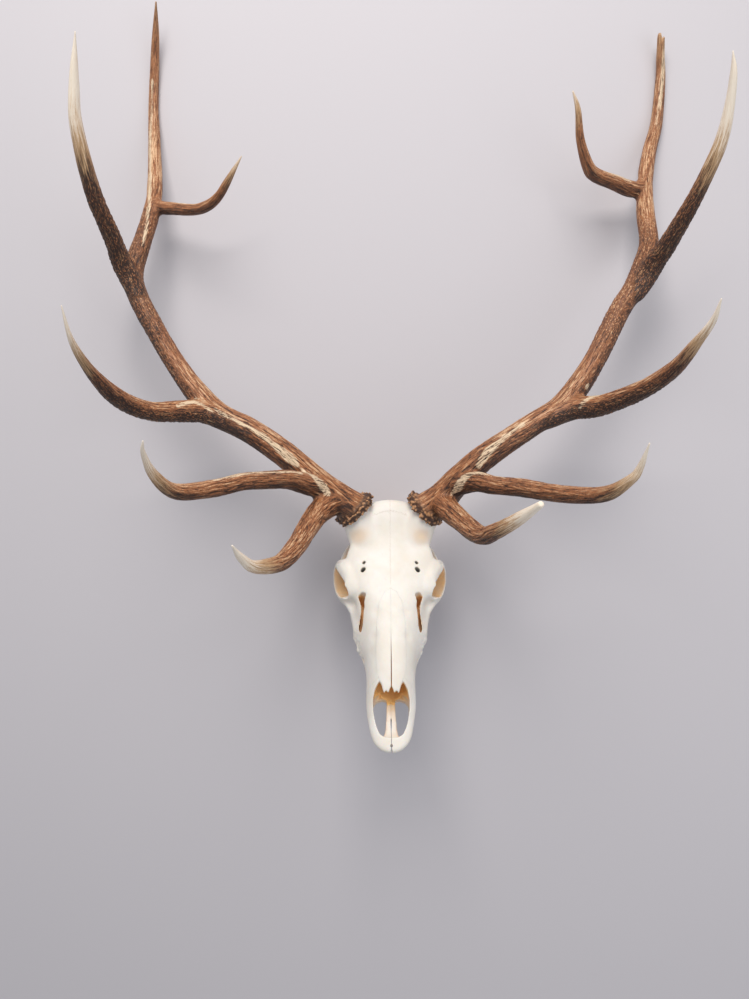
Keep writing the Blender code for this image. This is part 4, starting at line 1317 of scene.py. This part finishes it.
def muzzle_space(name, inner, outer, extra):
    """The space in front of the slanting seam, from an inner edge to an outer one."""
    sections = []
    for z in MUZZLE_HEIGHTS:
        back = MUZZLE_SEAM_Y + extra + MUZZLE_SEAM_SLOPE * (z - MUZZLE_SEAM_Z)
        edge = inner + [(inner[-1][0], back), (outer, back), (outer, inner[0][1])]
        sections.append([(x, y, z) for x, y in edge])
    return lofted(name, sections)


def nasal_space(name, outline, drop):
    """An outline on a floor that rises backwards, as the airway's roof does."""
    front = NASAL_EDGE[0][1]
    floor = [(x, y, NASAL_FLOOR - drop + (y - front) * NASAL_SLOPE) for x, y in outline]
    return lofted(name, [floor, [(x, y, TOP_OF_ALL) for x, y in outline]])


def lobes_of(tooth):
    return 1 if "premolar" in tooth else 2


def tooth_outline(tooth, sign, scale=1, extra=0):
    """A rounded square, dented between its lobes, where the tooth stands in the skull."""
    middle, length, width, side_middle = TEETH[tooth]
    lobes = lobes_of(tooth)
    outline = []
    for turn in ring_turns(24):
        share = math.sin(turn)
        dent = 1 - TOOTH_DENT * abs(math.cos((lobes * share + lobes - 1) * math.pi / 2))
        along = math.copysign(abs(share) ** TOOTH_CORNER, share) * ((length - TOOTH_GAP) / 2 + extra)
        across = math.cos(turn) * (width / 2 * dent + extra)
        outline.append((sign * side_middle + across * scale, middle + along * scale))
    return outline


# %% Part the bones
BONE_TRIANGLES = 190000


def copied(piece, name):
    only(piece)
    bpy.ops.object.duplicate()
    return named(name)


wide_edge = [(x + NASAL_GAP, y + NASAL_GAP) for x, y in NASAL_EDGE]
nasal_seat = nasal_space("nasal_seat", wide_edge + [(-x, y) for x, y in reversed(wide_edge)], NASAL_GAP)
muzzle = muzzle_space("muzzle", [(-WIDE, -20)], WIDE, BONE_GAP)
notch = prism("notch", oval(*MUZZLE_NOTCH, 0), *MUZZLE_HEIGHTS)
spaces = [nasal_seat, muzzle, notch]
bones = {}
sockets = []
for side, sign in SIDES.items():
    muzzle_half = muzzle_space("muzzle_half", all_on_side(sign, MUZZLE_SLIT), sign * WIDE, 0)
    nasal_half = nasal_space("nasal_half", all_on_side(sign, NASAL_EDGE + NASAL_SLIT), 0)
    premaxilla = copied(skull, f"{side}_muzzle_bone")
    cut(premaxilla, muzzle_half, "INTERSECT")
    bones[f"{side}_premaxilla"] = cut(cut(premaxilla, nasal_seat), notch)
    bones[f"{side}_nasal_bone"] = cut(copied(skull, f"{side}_nose_bone"), nasal_half, "INTERSECT")
    spaces += [muzzle_half, nasal_half]
    sockets += [prism("socket", tooth_outline(tooth, sign, extra=BONE_GAP), -2, TOOTH_TOP + BONE_GAP)
                for tooth in TEETH]
bones["cranium"] = copied(skull, "cranium_bone")
for cutter in (nasal_seat, muzzle, joined("sockets", sockets)):
    cut(bones["cranium"], cutter)
remove(*spaces, bpy.data.objects["sockets"], skull)
for bone in bones.values():
    thinned(bone, BONE_TRIANGLES)

# %% [markdown]
# ### How deep each point lies
#
# Bleached bone is cream outside and keeps a warm orange in its hollows, where no light and no
# bleach came. How hollow a place is can be measured: rays are sent out from the nearest place
# of the skull's form, and the share of them that soon hits bone says how deep the point lies.
# The form has no seams and no relief, so only true hollows count. A few rays leave a grainy
# answer, so each point then takes the mean with its neighbours. The same measure also paints
# shade into the colour, darker the more a place is shut in, on top of that real orange.

# %% Measure the hollows
RAY_COUNT = 14
RAY_REACH = 0.06
RAY_START = 0.0015
# How hollow the deepest soft hollow counts, where 1 is the inside of the nose; it sets how much shade is
# painted there.
SHADE = 0.38


def ray_ways(count):
    """Directions spread evenly over half a sphere round +Z."""
    turns = np.arange(count) * math.pi * (3 - math.sqrt(5))
    heights = (np.arange(count) + 0.5) / count
    rims = np.sqrt(1 - heights ** 2)
    return np.stack([rims * np.cos(turns), rims * np.sin(turns), heights], axis=1)


def softened(piece, values, rounds):
    """The mean of each point with its neighbours, several times over."""
    edges = np.empty(len(piece.data.edges) * 2, np.int32)
    piece.data.edges.foreach_get("vertices", edges)
    ends = np.concatenate([edges, edges.reshape(-1, 2)[:, ::-1].ravel()]).reshape(-1, 2)
    count = np.bincount(ends[:, 0], minlength=len(values))
    for _ in range(rounds):
        values = (values + np.bincount(ends[:, 0], values[ends[:, 1]], len(values))) / (count + 1)
    return values


def hollowness(piece, tree):
    found = [tree.find_nearest(point)[:2] for point in points_of(piece).tolist()]
    places, normals = (np.array(part) for part in zip(*found))
    starts = places + normals * RAY_START
    first = np.cross(normals, (0.35, 0.2, 0.91))
    first /= np.linalg.norm(first, axis=1)[:, None]
    second = np.cross(normals, first)
    hits = np.zeros(len(starts))
    for x, y, z in ray_ways(RAY_COUNT):
        ways = first * x + second * y + normals * z
        for i, (start, way) in enumerate(zip(starts.tolist(), ways.tolist())):
            if tree.ray_cast(start, way, RAY_REACH)[0] is not None:
                hits[i] += z
    return softened(piece, hits / ray_ways(RAY_COUNT)[:, 2].sum(), 2)


def airway_share(points):
    """1 on the walls of the airway, 0 outside, in millimetres."""
    y, half, low, high = np.array(NOSE_HOLLOW, float).T
    half, low, high = (np.interp(points[:, 1], y, values) for values in (half, low, high))
    away = np.hypot(points[:, 0] / half, (points[:, 2] - (low + high) / 2) / ((high - low) / 2))
    return smoothstep(1.2, 1.06, away) * smoothstep(70, 94, points[:, 1])


for bone in bones.values():
    own = points_of(bone) / MM
    store(bone, "own", own)
    inside = np.maximum(hollowness(bone, form), airway_share(own))
    store(bone, "hollow", np.maximum(inside, soft_shade(points_of(bone)) * SHADE))
    print(bone.name, "is hollow by", round(float(inside.mean()), 2), "on average")

# %% [markdown]
# ### Bone's finish
#
# The cream of bleached bone is never even: it is mottled, some light sinks into it, and fine
# pores and faint veins break the gloss. The sutures, where the bones of a young animal met, are
# drawn as formulas of the skull's own x, y and z with some noise for the wiggle.

# %% Bone finish
CROWN_SUTURE_Y = 381.0
BROW_HOLE_X, BROW_HOLE_Y = 46.5, 293.0


def bone_finish():
    finish = Finish("bone")
    hollow = finish.attribute("hollow")
    own = finish.attribute("own", vector=True)
    x, y, z = (finish.axis(own, number) for number in range(3))
    side_way = x.math("ABSOLUTE")
    mottle = finish.noise(24.0, detail=5.0)
    fine = finish.noise(150.0, detail=4.0)
    pores = finish.noise(900.0, detail=3.0)
    wiggle = (finish.noise(0.35, own, detail=3.0) - 0.5) * 9.0
    midline = (x + wiggle * 0.5).math("ABSOLUTE")
    middle_suture = (1 - midline.ramp(0.3, 1.3)) * y.ramp(255.0, 262.0) * z.ramp(110.0, 112.0)
    from_crown = (y + x * x * 0.006 + wiggle - CROWN_SUTURE_Y).math("ABSOLUTE")
    crown_suture = (1 - from_crown.ramp(0.4, 1.5)) * z.ramp(140.0, 145.0) * (1 - side_way.ramp(26.0, 34.0))
    suture = (middle_suture * 0.3 + crown_suture * 0.4) * mottle.ramp(0.3, 0.55)
    # Painted shade: the brow holes are coloured dark grey inside, where they lie in shadow.
    from_hole = (side_way - BROW_HOLE_X).math("POWER", 2.0) + ((y - BROW_HOLE_Y) * 0.6).math("POWER", 2.0)
    hole_shade = (1 - from_hole.ramp(60.0, 90.0)) * hollow.ramp(0.05, 0.3) * z.ramp(100.0, 110.0)
    cream = finish.mix(mottle.ramp(0.3, 0.7), "cream", "pale cream")
    # The hollow measure paints shade into the colour: recesses go a shaded cream, deeper ones tan and orange,
    # partly the bone's own unbleached colour and partly painted shade.
    depth = hollow * (0.55 + y.ramp(62.0, 88.0) * 0.45) + mottle * 0.2 - 0.1
    shaded_cream = finish.mix(depth.ramp(0.04, 0.32) * 0.9, cream, "shade")
    tan = finish.mix(depth.ramp(0.3, 0.6), shaded_cream, "hollow")
    orange = finish.mix(depth.ramp(0.55, 0.88), tan, "deep hollow")
    slit = (depth.ramp(0.4, 0.8) * y.ramp(182.0, 186.0) * (1 - y.ramp(255.0, 259.0)) * z.ramp(60.0, 64.0)
            * side_way.ramp(40.0, 43.0))
    slit_wall = finish.mix(y.ramp(206.0, 232.0), "front of slit", "slit")
    deep = finish.mix(slit, orange, slit_wall)
    veined = finish.mix(fine.ramp(0.6, 0.8) * 0.16, deep, "vein")
    marked = finish.mix(suture * 0.6, veined, "suture")
    colour = finish.mix(hole_shade, marked, "brow hole shade")
    roughness = 0.52 + fine * 0.16
    return finish.finished(colour, roughness, pores * 0.4 + fine - suture, bump=0.2, bump_distance=0.0006,
                           Subsurface_Weight=0.12, Subsurface_Radius=(0.006, 0.003, 0.0015),
                           Subsurface_Scale=1.0)


BONE = bone_finish()
for name, bone in bones.items():
    settle(bone, BONE, [name])

# %% [markdown]
# ## Cheek teeth
#
# An elk grinds with crescents of enamel. A premolar has one pair of them and a molar two, so
# each tooth is the outline of its socket raised to the crown, and its biting face is sunk
# between curved ridges.

# %% The form of a tooth
TOOTH_HEIGHTS = [(0.2, 0.84), (1.2, 0.93), (3.0, 1.0), (9.0, 0.98), (15.0, 0.93), (TOOTH_TOP, 0.86)]
TOOTH_VOXEL = 0.0006
CREST_DEPTH = 1.6


def tooth_form(side, name):
    sign = SIDES[side]
    sections = [[(x, y, z) for x, y in tooth_outline(name, sign, scale)] for z, scale in TOOTH_HEIGHTS]
    tooth = remeshed(lofted(f"{side}_{name}_tooth", sections), TOOTH_VOXEL)
    points = points_of(smoothed(tooth, 3))
    y, length, width, x = TEETH[name]
    across = sign * (points[:, 0] / MM - sign * x) / (width / 2)
    along = (points[:, 1] / MM - y) / (length / 2)
    crescents = np.abs(np.sin(math.pi * lobes_of(name) * (along + 1) / 2))
    crest = 0.5 + 0.5 * np.cos(math.pi * (2.3 * across + 0.8 * crescents))
    biting = smoothstep(0.0028, 0.0008, points[:, 2])
    points[:, 2] += (1 - crest) * biting * CREST_DEPTH * MM
    move_points(tooth, points)
    store(tooth, "valley", (1 - crest) * biting)
    store(tooth, "own", points / MM)
    return tooth


# %% Tooth finish
def tooth_finish():
    finish = Finish("tooth")
    z = finish.axis(finish.attribute("own", vector=True), 2)
    stain = finish.noise(220.0, detail=4.0)
    enamel = finish.mix(stain.ramp(0.35, 0.65), "enamel", "stained enamel")
    root = finish.mix((z + stain * 4.0).ramp(4.0, 9.0), enamel, "root")
    colour = finish.mix(finish.attribute("valley").ramp(0.3, 0.9), root, "valley")
    return finish.finished(colour, 0.28 + stain * 0.2, stain, bump=0.15, bump_distance=0.0004)


TOOTH = tooth_finish()

# %% Set the teeth
for side in SIDES:
    for name in TEETH:
        settle(tooth_form(side, name), TOOTH, [f"{side}_{name}"])
